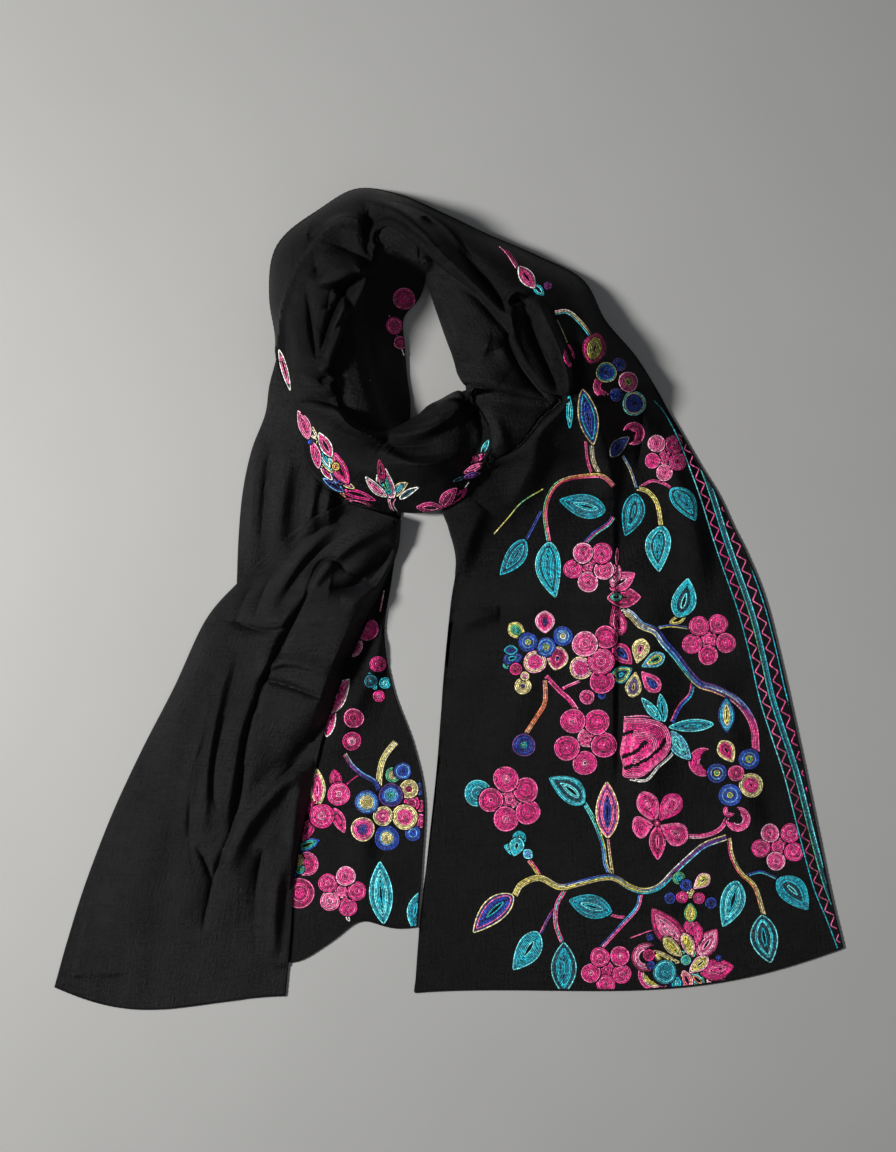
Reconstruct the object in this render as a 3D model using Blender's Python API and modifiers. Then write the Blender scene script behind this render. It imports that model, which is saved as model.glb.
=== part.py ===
"""Embroidered scarf, wound once into a loop and laid flat, with both ends spread below the loop.

Run with blender --background --python part.py. Metres, +Z up, the floor at z = 0, +Y towards the top of the
loop. The origin is on the floor below the middle of the scarf.

One long piece of cloth is followed from its right end: up the right side, over the top, down the left, across
the front, up inside the loop's right side, hidden under the top, down the left again and out to the left end,
which is folded lengthwise. Each stretch is one sheet, laid in the order in which the stretches lie on each
other, so that each rests on the floor and on all that was laid before it.
"""

import bpy
import bmesh
import numpy as np
from mathutils.bvhtree import BVHTree

# Driving sizes, in millimetres
CLOTH = 2.0          # wall: fine wool with its stitching
SEAM = 0.35          # air between two stretches
TURN_SEAM = 1.1      # cut back from each side of the cut at the loop's left turn, where the cloth bends
REACH_X = 360.0      # half of the plan that the height map covers, left to right
REACH_Y = 380.0      # and top to bottom
MOST_DROP = 1.2      # most that a laid sheet is lowered onto what it rests on
CELL = 1.6           # cell of the height map
GRAIN = 13.0         # side of a sheet's faces
WIDE_GRAIN = 17.0    # and of the wide right end's
CORE_TOP = 33.0      # height of the hidden layers inside the loop
EDGE_STEP = 2.6      # how far each hidden layer stands back from the next at the core's sides
MM = 0.001
BLACK = (0.012, 0.012, 0.014)

# A section goes across the cloth, from its left edge to its right edge as the cloth runs on. Columns: left x,
# left y, right x, right y, how high the cloth is puffed at its left edge, middle and right edge, and how far
# the section bows ahead of a straight line.
RIGHT_END = (
    (-30, -354, 355, -314, 0, 0, 0, -20),
    (-26, -300, 343, -264, 0, 0, 0, -8),
    (-18, -226, 326, -196, 0, 1, 0, 0),
    (-10, -150, 312, -130, 0, 2, 0, 0),
    (-4, -70, 299, -58, 0, 2, 0, 0),
    (2, -8, 284, 0, 0, 3, 0, 0),
    (7, 33, 268, 40, 1, 5, 0, 0),
    (0, 62, 256, 64, 4, 8, 0, 0),
    (-6, 84, 243, 92, 8, 12, 0, 0),
    (6, 112, 227, 118, 14, 16, 0, 0),
    (34, 142, 212, 144, 24, 22, 0, 0),
    (74, 163, 199, 166, 32, 30, 0, 0),
    (103, 177, 187, 188, 36, 38, 0, 0),
)
RING_OUTER = (
    (103, 177, 187, 188, 36, 38, 0, 0),
    (84, 191, 168, 218, 38, 42, 0, 0),
    (64, 217, 141, 250, 40, 44, 0, 0),
    (44, 243, 121, 286, 40, 44, 0, 0),
    (20, 269, 78, 307, 40, 44, 0, 0),
    (-4, 292, 38, 325, 38, 44, 0, 0),
    (-29, 315, -2, 345, 36, 42, 0, 0),
    (-54, 326, -42, 362, 34, 40, 0, 0),
    (-66, 315, -82, 368, 34, 42, 0, 0),
    (-70, 297, -118, 348, 36, 44, 0, 0),
    (-81, 272, -146, 327, 38, 46, 0, 0),
    (-97, 245, -158, 305, 40, 46, 0, 0),
    (-108, 222, -160, 270, 40, 46, 0, 0),
    (-110, 201, -155, 238, 38, 44, 0, 0),
    (-98, 186, -153, 214, 34, 40, 2, 0),
)
RING_FRONT = (
    (-98, 186, -153, 214, 34, 40, 2, 0),
    (-95, 176, -145, 184, 30, 38, 5, 0),
    (-84, 163, -136, 158, 26, 40, 8, 0),
    (-66, 154, -126, 116, 26, 42, 6, 0),
    (-46, 155, -100, 91, 28, 44, 4, 0),
    (-28, 165, -60, 79, 30, 46, 4, 0),
    (-8, 178, -24, 75, 32, 48, 6, 0),
    (10, 190, 8, 84, 34, 48, 10, 0),
    (32, 188, 32, 112, 36, 46, 18, 0),
    (56, 184, 44, 136, 36, 44, 28, 0),
    (84, 180, 70, 158, 36, 42, 34, 0),
)
RING_INNER = (
    (22, 172, 112, 168, 20, 34, 34, 0),
    (12, 190, 110, 184, 4, 34, 34, 0),
    (5, 210, 102, 204, 2, 34, 36, 0),
    (-5, 232, 86, 226, 2, 34, 38, 0),
    (-14, 258, 68, 250, 2, 34, 38, 0),
    (-21, 284, 48, 274, 2, 34, 38, 0),
    (-25, 308, 26, 297, 4, 32, 36, 0),
    (-42, 330, 2, 318, 20, 30, 34, 0),
)
RING_UNDER = (
    (-30, 300, -22, 330, 6, 24, 34, 0),
    (-38, 268, -72, 342, 2, 24, 34, 0),
    (-40, 250, -104, 330, 2, 24, 36, 0),
    (-39, 226, -130, 300, 2, 24, 36, 0),
    (-37, 200, -146, 262, 2, 22, 34, 0),
    (-34, 176, -152, 222, 2, 20, 28, 0),
    (-36, 148, -160, 192, 2, 16, 14, 0),
    (-40, 118, -164, 166, 2, 14, 4, 0),
    (-48, 84, -176, 134, 2, 10, 2, 0),
    (-56, 50, -184, 98, 2, 8, 1, 0),
    (-62, 14, -188, 58, 2, 6, 1, 0),
    (-68, -20, -190, 14, 2, 4, 1, 0),
)
LEFT_LOWER = (
    (-42, 84, -100, 78, 1, 3, 1, 0),
    (-46, 54, -138, 48, 1, 3, 1, 0),
    (-52, 14, -176, 8, 0, 3, 1, 0),
    (-58, -32, -206, -36, 0, 2, 0, 0),
    (-50, -82, -236, -84, 0, 2, 0, 0),
    (-32, -132, -264, -132, 0, 1, 0, 0),
    (-22, -180, -290, -188, 0, 1, 0, 0),
    (-24, -236, -314, -254, 0, 0, 0, 0),
    (-28, -295, -334, -338, 0, 0, 0, 4),
)
LEFT_UPPER = (
    (-43, 71, -92, 86, 12, 16, 10, 0),
    (-45, 48, -128, 68, 6, 16, 8, 0),
    (-51, 30, -166, 36, 3, 13, 5, 0),
    (-61, 6, -190, 13, 3, 11, 3, 0),
    (-76, -22, -218, -20, 2, 10, 2, 0),
    (-97, -72, -246, -80, 2, 9, 1, 0),
    (-114, -128, -275, -136, 1, 9, 1, 0),
    (-128, -192, -302, -194, 1, 7, 1, 0),
    (-139, -248, -326, -256, 0, 5, 1, 0),
    (-142, -300, -342, -306, 0, 3, 0, 6),
    (-147, -357, -354, -349, 0, 1, 0, 17),
)
# Hidden layers of the loop, as one ring. Columns: inner x, inner y, outer x, outer y.
CORE = (
    (18, 232, 140, 226),
    (2, 266, 100, 278),
    (-22, 296, 26, 316),
    (-48, 300, -44, 348),
    (-66, 280, -104, 338),
    (-68, 250, -144, 298),
    (-64, 214, -148, 242),
    (-56, 184, -144, 184),
    (-44, 154, -112, 122),
    (-26, 146, -42, 90),
    (8, 158, 26, 104),
    (40, 192, 104, 152),
)

# A fold is a soft ridge, or a trough where its height is negative, along an arc through three points in plan.
# Columns: the three points, its height, and its width on the left and on the right of its run.
FOLDS = {
    "right_end": (
        (144, 140, 148, 35, 149, -84, 11, 28, 7),
        (107, 180, 86, 152, 68, 128, 14, 10, 12),
        (30, 78, 12, 35, 3, -37, 10, 12, 12),
        (-1, -12, 18, -9, 42, -13, 4, 7, 7),
        (166, -60, 184, -145, 173, -235, 5, 20, 16),
        (83, 20, 65, -71, 47, -161, 5, 26, 22),
        (190, 130, 214, 70, 226, 0, 8, 14, 18),
    ),
    "ring_outer": (
        (65, 272, 58, 240, 100, 184, 12, 9, 7),
        (72, 272, 90, 218, 105, 186, 13, 8, 9),
        (92, 290, 112, 250, 114, 190, 10, 9, 11),
        (-68, 350, -30, 336, 20, 303, 12, 8, 9),
        (-20, 322, 30, 286, 62, 250, 11, 8, 8),
        (-121, 320, -93, 307, -72, 298, 12, 10, 8),
        (-72, 297, -92, 254, -109, 206, 13, 10, 7),
        (-126, 282, -114, 255, -101, 232, 12, 11, 8),
        (-140, 300, -146, 262, -138, 214, 9, 12, 9),
    ),
    "ring_front": (
        (-94, 176, -57, 150, -8, 164, 13, 9, 8),
        (-132, 168, -72, 141, -12, 122, 14, 12, 9),
        (-12, 122, 8, 124, 28, 142, 12, 10, 10),
        (-40, 163, -14, 164, 22, 175, 10, 7, 8),
        (-120, 118, -70, 96, -10, 88, 8, 11, 11),
    ),
    "ring_inner": (
        (24, 290, 30, 250, 66, 208, 9, 14, 12),
        (-20, 288, 0, 244, 20, 204, 7, 9, 14),
    ),
    "ring_under": (
        (-117, 110, -122, 84, -124, 57, 8, 7, 6),
        (-104, 100, -108, 84, -110, 66, 8, 6, 6),
        (-168, 152, -174, 89, -176, 26, 6, 10, 8),
        (-142, 130, -150, 84, -152, 36, 6, 9, 9),
    ),
    "left_lower": (
        (-57, -37, -84, -91, -104, -150, 5, 12, 12),
        (-60, -145, -76, -207, -80, -270, 4, 14, 14),
    ),
    "left_upper": (
        (-102, 26, -142, -12, -162, -73, 12, 10, 16),
        (-162, -73, -186, -154, -214, -290, 12, 9, 20),
        (-54, 63, -108, 46, -166, -1, 12, 9, 11),
        (-47, 50, -93, 34, -147, -12, 10, 8, 9),
        (-61, 72, -124, 63, -178, 15, 9, 8, 9),
        (-140, -181, -165, -237, -171, -310, 9, 13, 13),
        (-133, -147, -146, -176, -187, -192, 8, 10, 11),
        (-210, -21, -178, -27, -149, -25, 6, 6, 8),
        (-196, -40, -222, -120, -256, -226, 6, 16, 18),
    ),
}


def through(rows, t):
    """A smooth curve through every row, at the places t counted in rows: a cubic between each two rows."""
    rows = np.array(rows, float)
    tangent = np.gradient(rows, axis=0)
    i = np.minimum(t.astype(int), len(rows) - 2)
    f = (t - i)[:, None]
    a, b, da, db = rows[i], rows[i + 1], tangent[i], tangent[i + 1]
    return a + f * da + f * f * (3 * (b - a) - 2 * da - db) + f * f * f * (2 * (a - b) + da + db)


def grid_faces(along, across):
    """Triangles of a grid of points, each square cut from its first corner to its opposite one."""
    corner = (np.arange(along - 1)[:, None] * across + np.arange(across - 1)).ravel()
    first = np.stack([corner, corner + across, corner + across + 1], 1)
    second = np.stack([corner, corner + across + 1, corner + 1], 1)
    return np.concatenate([first, second])


def spread_in_triangles(points, faces, parts=5):
    """Many points spread evenly over the triangles, corners and edges included."""
    a, b = np.meshgrid(np.arange(parts + 1), np.arange(parts + 1))
    inside = a + b <= parts
    a, b = a[inside] / parts, b[inside] / parts
    share = np.stack([1 - a - b, a, b], 1)
    return np.einsum("sc,fcd->fsd", share, points[faces]), share


def relief(x, y, folds):
    """Sum of the folds' heights over the plan."""
    total = np.zeros_like(x)
    t = np.linspace(0, 1, 25)[:, None]
    for x0, y0, x1, y1, x2, y2, height, left, right in folds:
        start, middle, end = np.array([(x0, y0), (x1, y1), (x2, y2)], float)
        run = start * (1 - t) * (1 - 2 * t) + middle * 4 * t * (1 - t) + end * t * (2 * t - 1)
        heading = np.gradient(run, axis=0)
        heading /= np.linalg.norm(heading, axis=1)[:, None]
        away = np.stack([x[..., None] - run[:, 0], y[..., None] - run[:, 1]], -1)
        nearest = (away**2).sum(-1).argmin(-1)
        away = np.take_along_axis(away, nearest[..., None, None], -2)[..., 0, :]
        near = heading[nearest]
        side = near[..., 0] * away[..., 1] - near[..., 1] * away[..., 0]
        ahead = (near * away).sum(-1)
        width = np.where(side > 0, left, right)
        fade = np.clip(np.sin(np.pi * t[nearest, 0]), 0, 1) ** 0.7
        total += height * fade * np.exp(-(side / width) ** 2 - (ahead / (left + right)) ** 2)
    return total


class Pile:
    """Height map of all that lies on the floor so far, and its solids."""

    def __init__(self):
        self.solids = []
        self.height = np.zeros((int(2 * REACH_X / CELL) + 1, int(2 * REACH_Y / CELL) + 1))

    def cell(self, x, y):
        i = np.clip((x + REACH_X) / CELL, 0, self.height.shape[0] - 1.001)
        j = np.clip((y + REACH_Y) / CELL, 0, self.height.shape[1] - 1.001)
        return i, j

    def at(self, x, y):
        i, j = self.cell(x, y)
        a, b = i.astype(int), j.astype(int)
        f, g = i - a, j - b
        h = self.height
        low = h[a, b] * (1 - f) + h[a + 1, b] * f
        return low * (1 - g) + (h[a, b + 1] * (1 - f) + h[a + 1, b + 1] * f) * g

    def add(self, points, faces, short_of=None):
        """Raises the map to the top of this mesh, one cell further out than it reaches.

        What is near the line short_of is left out, because the next stretch goes on from there.
        """
        self.solids.append(BVHTree.FromPolygons(points.tolist(), faces.tolist()))
        if short_of is not None:
            middle = points[faces].mean(1)
            gap = np.linalg.norm(middle[:, None, :2] - short_of[None, :, :2], axis=2).min(1)
            faces = faces[gap > 1.2 * GRAIN]
        dense, _ = spread_in_triangles(points, faces, 14)
        dense = dense.reshape(-1, 3)
        i, j = self.cell(dense[:, 0], dense[:, 1])
        top = np.zeros_like(self.height)
        np.maximum.at(top, (np.round(i).astype(int), np.round(j).astype(int)), dense[:, 2])
        for axis in (0, 1):
            top = np.maximum(top, np.maximum(np.roll(top, 1, axis), np.roll(top, -1, axis)))
        self.height = np.maximum(self.height, top)

    def settle(self, points, faces):
        """Lifts the points of a sheet until no spot on its underside is below the pile."""
        for _ in range(30):
            dense, share = spread_in_triangles(points, faces)
            need = self.at(dense[..., 0], dense[..., 1])
            need = np.where(need > 0, need + SEAM, 0)
            lack = np.clip(need - dense[..., 2], 0, None)
            if lack.max() < 0.02:
                break
            lift = np.zeros(len(points))
            for c in range(3):
                np.maximum.at(lift, faces[:, c], (lack * (share[:, c] > 0.05)).max(1))
            points[:, 2] += lift

    def seat(self, points, faces):
        """Lowers what isn't on the floor until the nearest solid is one seam away."""
        dense, _ = spread_in_triangles(points, faces)
        near = min(solid.find_nearest(spot)[3] for solid in self.solids for spot in dense.reshape(-1, 3).tolist())
        drop = min(max(near - SEAM, 0), MOST_DROP)
        points[:, 2] = np.where(points[:, 2] > drop, points[:, 2] - drop, 0)


def smoothed(z, passes):
    for _ in range(passes):
        wide = np.pad(z, 1, mode="edge")
        z = (4 * z + wide[:-2, 1:-1] + wide[2:, 1:-1] + wide[1:-1, :-2] + wide[1:-1, 2:]) / 8
    return z


def material(name, colour, roughness):
    made = bpy.data.materials.new(name)
    made.use_nodes = True
    shader = made.node_tree.nodes["Principled BSDF"]
    shader.inputs["Base Color"].default_value = (*colour, 1)
    shader.inputs["Roughness"].default_value = roughness
    shader.inputs["Metallic"].default_value = 0
    made.diffuse_color = (*colour, 1)
    return made


def mesh_object(name, points, faces, colour):
    mesh = bpy.data.meshes.new(name)
    mesh.from_pydata((points * MM).tolist(), [], faces.tolist())
    made = bpy.data.objects.new(name, mesh)
    mesh.materials.append(material(name, colour, 0.9))
    parts.objects.link(made)
    mesh.shade_smooth()
    return made


def world_mesh(made):
    """Points, in millimetres, and triangles of an object with its modifiers."""
    bpy.context.view_layer.update()
    shown = made.evaluated_get(bpy.context.evaluated_depsgraph_get()).to_mesh()
    shown.calc_loop_triangles()
    points = np.empty(len(shown.vertices) * 3)
    shown.vertices.foreach_get("co", points)
    faces = np.empty(len(shown.loop_triangles) * 3, int)
    shown.loop_triangles.foreach_get("vertices", faces)
    return points.reshape(-1, 3) / MM, faces.reshape(-1, 3)


def core(pile, rows):
    """The loop's hidden layers: a rounded ring, flat below, whose sides step back a little at each layer."""
    closed = np.array(rows + rows[:1])
    around = through(closed, np.linspace(0, len(rows), 49))[:-1]
    lean = np.radians(np.linspace(-90, 90, 13))
    height = CORE_TOP * (1 - np.abs(np.sin(lean)) ** 2.6) ** 0.5
    layer = EDGE_STEP * np.abs(np.sin(height / CORE_TOP * 3 * np.pi)) * (np.abs(lean) > 0.8)
    ring = []
    for inner_x, inner_y, outer_x, outer_y in around:
        inner, outer = np.array((inner_x, inner_y)), np.array((outer_x, outer_y))
        half = np.linalg.norm(outer - inner) / 2
        way = np.sin(lean) * (1 - layer / half)
        plan = (inner + outer) / 2 + way[:, None] * (outer - inner) / 2
        ring.append(np.column_stack([plan, height]))
    ring = np.array(ring)
    bm = bmesh.new()
    loops = [[bm.verts.new(p * MM) for p in section] for section in ring]
    for a, b in zip(loops, loops[1:] + loops[:1]):
        for p, q, r, s in zip(a, a[1:] + a[:1], b[1:] + b[:1], b):
            bm.faces.new((p, q, r, s))
    bmesh.ops.recalc_face_normals(bm, faces=bm.faces)
    bmesh.ops.triangulate(bm, faces=bm.faces)
    mesh = bpy.data.meshes.new("ring_core")
    bm.to_mesh(mesh)
    bm.free()
    made = bpy.data.objects.new("ring_core", mesh)
    mesh.materials.append(material("ring_core", BLACK, 0.95))
    parts.objects.link(made)
    mesh.shade_smooth()
    pile.add(*world_mesh(made))


def laid(pile, stretches, folds, grain, follow=None, ease=1):
    """Points of consecutive stretches of the cloth as one grid, resting on the pile, and where each one starts.

    stretches are tables of sections, each beginning with the last section of the one before. follow is the last
    section of a stretch laid earlier, which this one goes on from at the same height.
    """
    rows = np.array([row for k, table in enumerate(stretches) for row in table[k > 0:]], float)
    joints = np.cumsum([0] + [len(table) - 1 for table in stretches])
    edges = rows[:, :4].reshape(-1, 2, 2)
    step = np.linalg.norm(np.diff(edges.mean(1), axis=0), axis=1)
    across = int(np.linalg.norm(edges[:, 1] - edges[:, 0], axis=1).max() / grain) + 2
    counts = [int(step[a:b].sum() / grain) + 1 for a, b in zip(joints, joints[1:])]
    where = [np.linspace(a, b, n + 1)[k > 0:] for k, (a, b, n) in enumerate(zip(joints, joints[1:], counts))]
    left_x, left_y, right_x, right_y, left, middle, right, bow = through(rows, np.concatenate(where)).T[..., None]
    u = np.linspace(0, 1, across)
    x, y = left_x * (1 - u) + right_x * u, left_y * (1 - u) + right_y * u
    ahead = np.stack([left_y - right_y, right_x - left_x]) / np.hypot(right_x - left_x, right_y - left_y)
    swell = bow * np.sin(np.pi * u**1.5)
    x, y = x + ahead[0] * swell, y + ahead[1] * swell
    hump = (middle - (left + right) / 2) * (4 * u * (1 - u)) ** 0.7
    z = np.clip(left * (1 - u) + right * u + hump + relief(x, y, folds), 0, None)
    if follow is not None:
        was = np.interp(u, np.linspace(0, 1, len(follow)), follow[:, 2])
        z += (was - z[0]) * np.clip(1 - np.arange(len(z)) / 3, 0, 1)[:, None]
    faces = grid_faces(*x.shape)
    points = np.column_stack([x.ravel(), y.ravel(), z.ravel()])
    pile.settle(points, faces)
    z = smoothed(points[:, 2].reshape(x.shape), ease)
    if follow is not None:
        z[0] = was
    points[:, 2] = np.where(z < 0.3, 0, z).ravel()
    pile.settle(points, faces)
    if follow is None:
        pile.seat(points, faces)
    return points.reshape(*x.shape, 3), np.cumsum([0] + counts)


def stretch(name, grid, trim=(0, 0)):
    """One node: the grid is the cloth's underside, and Solidify adds its wall above.

    trim takes a little off the first and last section, where the next stretch goes on.
    """
    grid = grid.copy()
    for end, inside, cut in ((0, 1, trim[0]), (-1, -2, trim[1])):
        way = grid[inside] - grid[end]
        grid[end] += way / np.linalg.norm(way, axis=1)[:, None] * cut
    points, faces = grid.reshape(-1, 3), grid_faces(*grid.shape[:2])
    a, b, c = points[faces[:, 0]], points[faces[:, 1]], points[faces[:, 2]]
    up = np.cross(b - a, c - a)[:, 2].sum() > 0
    made = mesh_object(name, points, faces if up else faces[:, ::-1], BLACK)
    wall = made.modifiers.new("Wall", "SOLIDIFY")
    wall.thickness = CLOTH * MM
    wall.offset = 1
    return made


def sheet(pile, name, table, grain=GRAIN, follow=None):
    """Lays one stretch and adds it to the pile."""
    grid, _ = laid(pile, (table,), FOLDS[name], grain, follow)
    made = stretch(name, grid, (0 if follow is None else TURN_SEAM, 0))
    pile.add(*world_mesh(made))
    return grid


for old in list(bpy.data.objects):
    bpy.data.objects.remove(old, do_unlink=True)
parts = bpy.data.collections.new("Embroidered_Scarf")
bpy.context.scene.collection.children.link(parts)

pile = Pile()
core(pile, CORE)
sheet(pile, "left_lower", LEFT_LOWER)
sheet(pile, "ring_under", RING_UNDER)
sheet(pile, "left_upper", LEFT_UPPER)
sheet(pile, "ring_inner", RING_INNER)
band, (start, join, end) = laid(pile, (RIGHT_END, RING_OUTER), FOLDS["right_end"] + FOLDS["ring_outer"], WIDE_GRAIN)
band[join] = (band[join - 1] + band[join + 1]) / 2
for made in (
    stretch("right_end", band[:join + 1], (0, 0.7 * SEAM)),
    stretch("ring_outer", band[join:], (0.7 * SEAM, TURN_SEAM)),
):
    pile.add(*world_mesh(made), short_of=band[-1])
sheet(pile, "ring_front", RING_FRONT, follow=band[-1])
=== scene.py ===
"""Looks of an embroidered scarf, wound once into a loop and laid flat on a pale floor.

All shapes are worked out in millimetres, in the frame's axes: +Z up, +Y towards the top of the loop. The cloth is
a run of sections, each a straight or bowed line from the cloth's left edge to its right edge. A smooth curve
through the sections gives the plan of each stretch, and its height is a mix of the edges' heights, a crown across
the middle and a sum of folds. A folded edge goes on as an arc that curls under. The stretches are laid one after
the other on a height map of what lies there already. The embroidery is rows of chain stitch: lines in plan, found
again on the cloth's own grid, with a three-sided section carried along them.
"""

import bpy
import numpy as np
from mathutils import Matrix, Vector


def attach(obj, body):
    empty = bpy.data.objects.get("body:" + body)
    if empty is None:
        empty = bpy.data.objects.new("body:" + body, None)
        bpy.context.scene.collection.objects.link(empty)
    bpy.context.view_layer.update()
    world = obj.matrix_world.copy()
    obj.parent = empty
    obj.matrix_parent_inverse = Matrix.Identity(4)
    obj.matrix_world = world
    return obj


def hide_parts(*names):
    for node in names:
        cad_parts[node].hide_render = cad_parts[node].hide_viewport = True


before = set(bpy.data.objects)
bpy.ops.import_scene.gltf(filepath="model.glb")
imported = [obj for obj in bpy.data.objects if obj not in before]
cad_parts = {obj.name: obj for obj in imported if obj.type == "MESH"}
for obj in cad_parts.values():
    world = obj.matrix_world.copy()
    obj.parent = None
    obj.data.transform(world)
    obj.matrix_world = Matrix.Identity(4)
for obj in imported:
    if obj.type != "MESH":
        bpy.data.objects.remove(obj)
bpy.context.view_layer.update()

MM = 0.001           # one millimetre in metres
WALL = 1.2           # how thick the cloth is with its nap
SHADE = 1.7          # how much steeper than it is the cloth is shaded, as its nap shows every slope
AIR = 0.5            # between two stretches that lie on each other
CELL = 1.5           # cell of the height map
REACH = (370.0, 390.0)       # half of the plan that it covers
SPREADS = 14         # times that a lift spreads to its neighbours when a stretch is laid
ROLL_SPREADS = 4     # the same for a folded edge
ROLL_STEPS = 9       # faces round a folded edge
ROLL_TURN = 200.0    # degrees that a folded edge curls round
CROWN = 0.7          # the lower, the flatter the cloth is between its edges
FOLD_END = 0.7       # the lower, the blunter a fold ends
FOLD_PLACES = 33     # places along a fold's arc
WAVES = 9            # plane waves in the cloth's unevenness
UNEVEN = (0.5, 22, 90)       # how high they are together, the shortest one and the longest one
FOLLOWED = 10        # rows within which a stretch leaves the height of the one before it
FRONT_TUCK = (22.0, 36.0)    # x from where the front goes under the right end's cloth, and by where it has
FRONT_ROWS = 18      # the outer stretch's last rows, which aren't in the pile because the front goes on from them

# One pixel of the photograph shows this much of the floor, and this pixel lies over the origin.
PIXEL = 0.9
MIDDLE = (448.0, 598.5)
PICTURE = (896, 1152)
EYE_HEIGHT = 5.0     # of the camera, in metres

# The room, in metres, degrees and watts.
FLOOR = 6.0          # half a side of the floor
FLOOR_TONES = (0.40, 0.40, 0.395), (0.46, 0.46, 0.455)
ROOM_LIGHT = (0.86, 0.89, 0.93, 1), 0.115    # the colour and the strength of the light from all round
# Columns: name, place, what it looks at, size, the angle that it shines into, power and colour.
LIGHTS = (
    ("key", (-2.36, 0.3, 1.62), (-0.4, 0, 0), 0.5, 90, 29, (1.0, 0.985, 0.96)),
    ("fill", (1.4, -1.0, 2.6), (0, 0, 0), 2.4, 180, 5, (0.93, 0.96, 1.0)),
)

# A section goes across the cloth, from its left edge to its right edge as the cloth runs on. Columns: left x,
# left y, right x, right y, how high the cloth is at its left edge, middle and right edge, and how far the section
# bows ahead of a straight line. RING_OUTER goes on from RIGHT_END, and RING_FRONT from RING_OUTER.
RIGHT_END = (
    (-30, -354, 355, -314, 0, 0, 0, -20),
    (-26, -300, 343, -264, 0, 0, 0, -8),
    (-18, -226, 329, -196, 0, 1, 0, 0),
    (-10, -150, 315, -130, 0, 2, 0, 0),
    (-4, -70, 299, -58, 0, 2, 0, 0),
    (2, -8, 284, 0, 0, 3, 0, 0),
    (7, 33, 268, 40, 1, 5, 0, 0),
    (0, 62, 256, 64, 4, 8, 0, 0),
    (-6, 84, 243, 92, 10, 13, 0, 0),
    (6, 112, 227, 118, 22, 18, 0, 0),
    (56, 130, 212, 144, 31, 26, 0, 0),
    (86, 156, 199, 166, 39, 33, 0, 0),
    (103, 177, 187, 188, 42, 39, 0, 0),
)
RING_OUTER = (
    (86, 185, 168, 218, 46, 42, 0, 0),
    (68, 208, 141, 250, 49, 44, 0, 0),
    (53, 238, 121, 286, 49, 43, 0, 0),
    (31, 265, 80, 308, 48, 42, 0, 0),
    (3, 286, 38, 326, 45, 42, 0, 0),
    (-26, 312, -2, 345, 43, 41, 0, 0),
    (-54, 331, -42, 362, 39, 39, 0, 0),
    (-67, 321, -82, 368, 39, 41, 0, 0),
    (-66, 299, -118, 348, 45, 43, 0, 0),
    (-76, 272, -146, 327, 49, 45, 0, 0),
    (-91, 245, -158, 305, 50, 46, 0, 0),
    (-102, 222, -160, 270, 49, 46, 0, 0),
    (-105, 201, -155, 238, 44, 44, 0, 0),
    (-96, 186, -153, 214, 36, 40, 2, 0),
)
RING_FRONT = (
    (-94, 176, -145, 184, 30, 38, 5, 0),
    (-84, 163, -136, 158, 24, 40, 8, 0),
    (-66, 154, -126, 116, 20, 42, 6, 0),
    (-46, 156, -100, 91, 16, 44, 4, 0),
    (-28, 167, -60, 79, 14, 46, 4, 0),
    (-8, 181, -24, 75, 14, 47, 6, 0),
    (10, 190, 8, 84, 16, 42, 10, 0),
    (24, 180, 28, 106, 20, 33, 12, 0),
    (34, 170, 36, 126, 20, 27, 10, 0),
    (42, 162, 43, 140, 20, 24, 8, 0),
)
RING_INNER = (
    (34, 92, 100, 96, 3, 4, 3, 0),
    (36, 112, 102, 116, 12, 10, 6, 0),
    (39, 132, 106, 138, 30, 27, 14, 0),
    (37, 150, 110, 152, 35, 35, 22, 0),
    (30, 166, 112, 160, 37, 38, 26, 0),
    (20, 180, 114, 166, 38, 41, 28, 0),
    (15, 190, 116, 172, 36, 40, 28, 0),
    (18, 199, 117, 179, 34.5, 36, 28, 0),
    (20, 203, 117, 182, 35, 37.5, 29, 0),
    (19, 200, 117, 179, 36.5, 39, 31, 0),
    (15, 194, 116, 173, 39, 42, 32, 0),
    (11, 194, 115, 172, 42, 45, 32, 0),
    (8, 200, 113, 178, 42, 45, 30, 0),
    (4, 212, 106, 192, 33, 42, 24, 0),
    (-4, 232, 90, 216, 8, 40, 18, 0),
    (-13, 258, 70, 244, 2, 38, 18, 0),
    (-20, 280, 52, 270, 2, 35, 20, 0),
    (-24, 296, 34, 290, 6, 34, 24, 0),
    (-33, 302, 20, 303, 14, 34, 28, 0),
    (-46, 308, 6, 316, 20, 34, 30, 0),
    (-56, 318, -8, 328, 24, 33, 31, 0),
    (-62, 334, -20, 340, 26, 32, 32, 0),
)
RING_UNDER = (
    (-18, 300, -22, 330, 6, 24, 34, 0),
    (-25, 272, -72, 342, 2, 24, 34, 0),
    (-40, 252, -104, 330, 2, 24, 36, 0),
    (-39, 226, -130, 300, 2, 24, 36, 0),
    (-37, 200, -146, 262, 2, 22, 34, 0),
    (-34, 176, -152, 222, 2, 20, 28, 0),
    (-36, 148, -160, 192, 2, 18, 12, 0),
    (-40, 118, -164, 166, 2, 18, 3, 0),
    (-48, 84, -176, 134, 2, 15, 2, 0),
    (-56, 50, -184, 98, 2, 12, 1, 0),
    (-62, 14, -188, 58, 2, 8, 1, 0),
    (-68, -20, -190, 14, 2, 4, 1, 0),
)
LEFT_LOWER = (
    (-42, 84, -100, 78, 1, 3, 1, 0),
    (-46, 54, -138, 48, 1, 3, 1, 0),
    (-52, 14, -176, 8, 0, 3, 1, 0),
    (-58, -32, -206, -36, 0, 2, 0, 0),
    (-50, -82, -236, -84, 0, 2, 0, 0),
    (-32, -132, -264, -132, 0, 1, 0, 0),
    (-22, -180, -290, -188, 0, 1, 0, 0),
    (-24, -236, -314, -254, 0, 0, 0, 0),
    (-28, -295, -334, -338, 0, 0, 0, 4),
)
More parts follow.
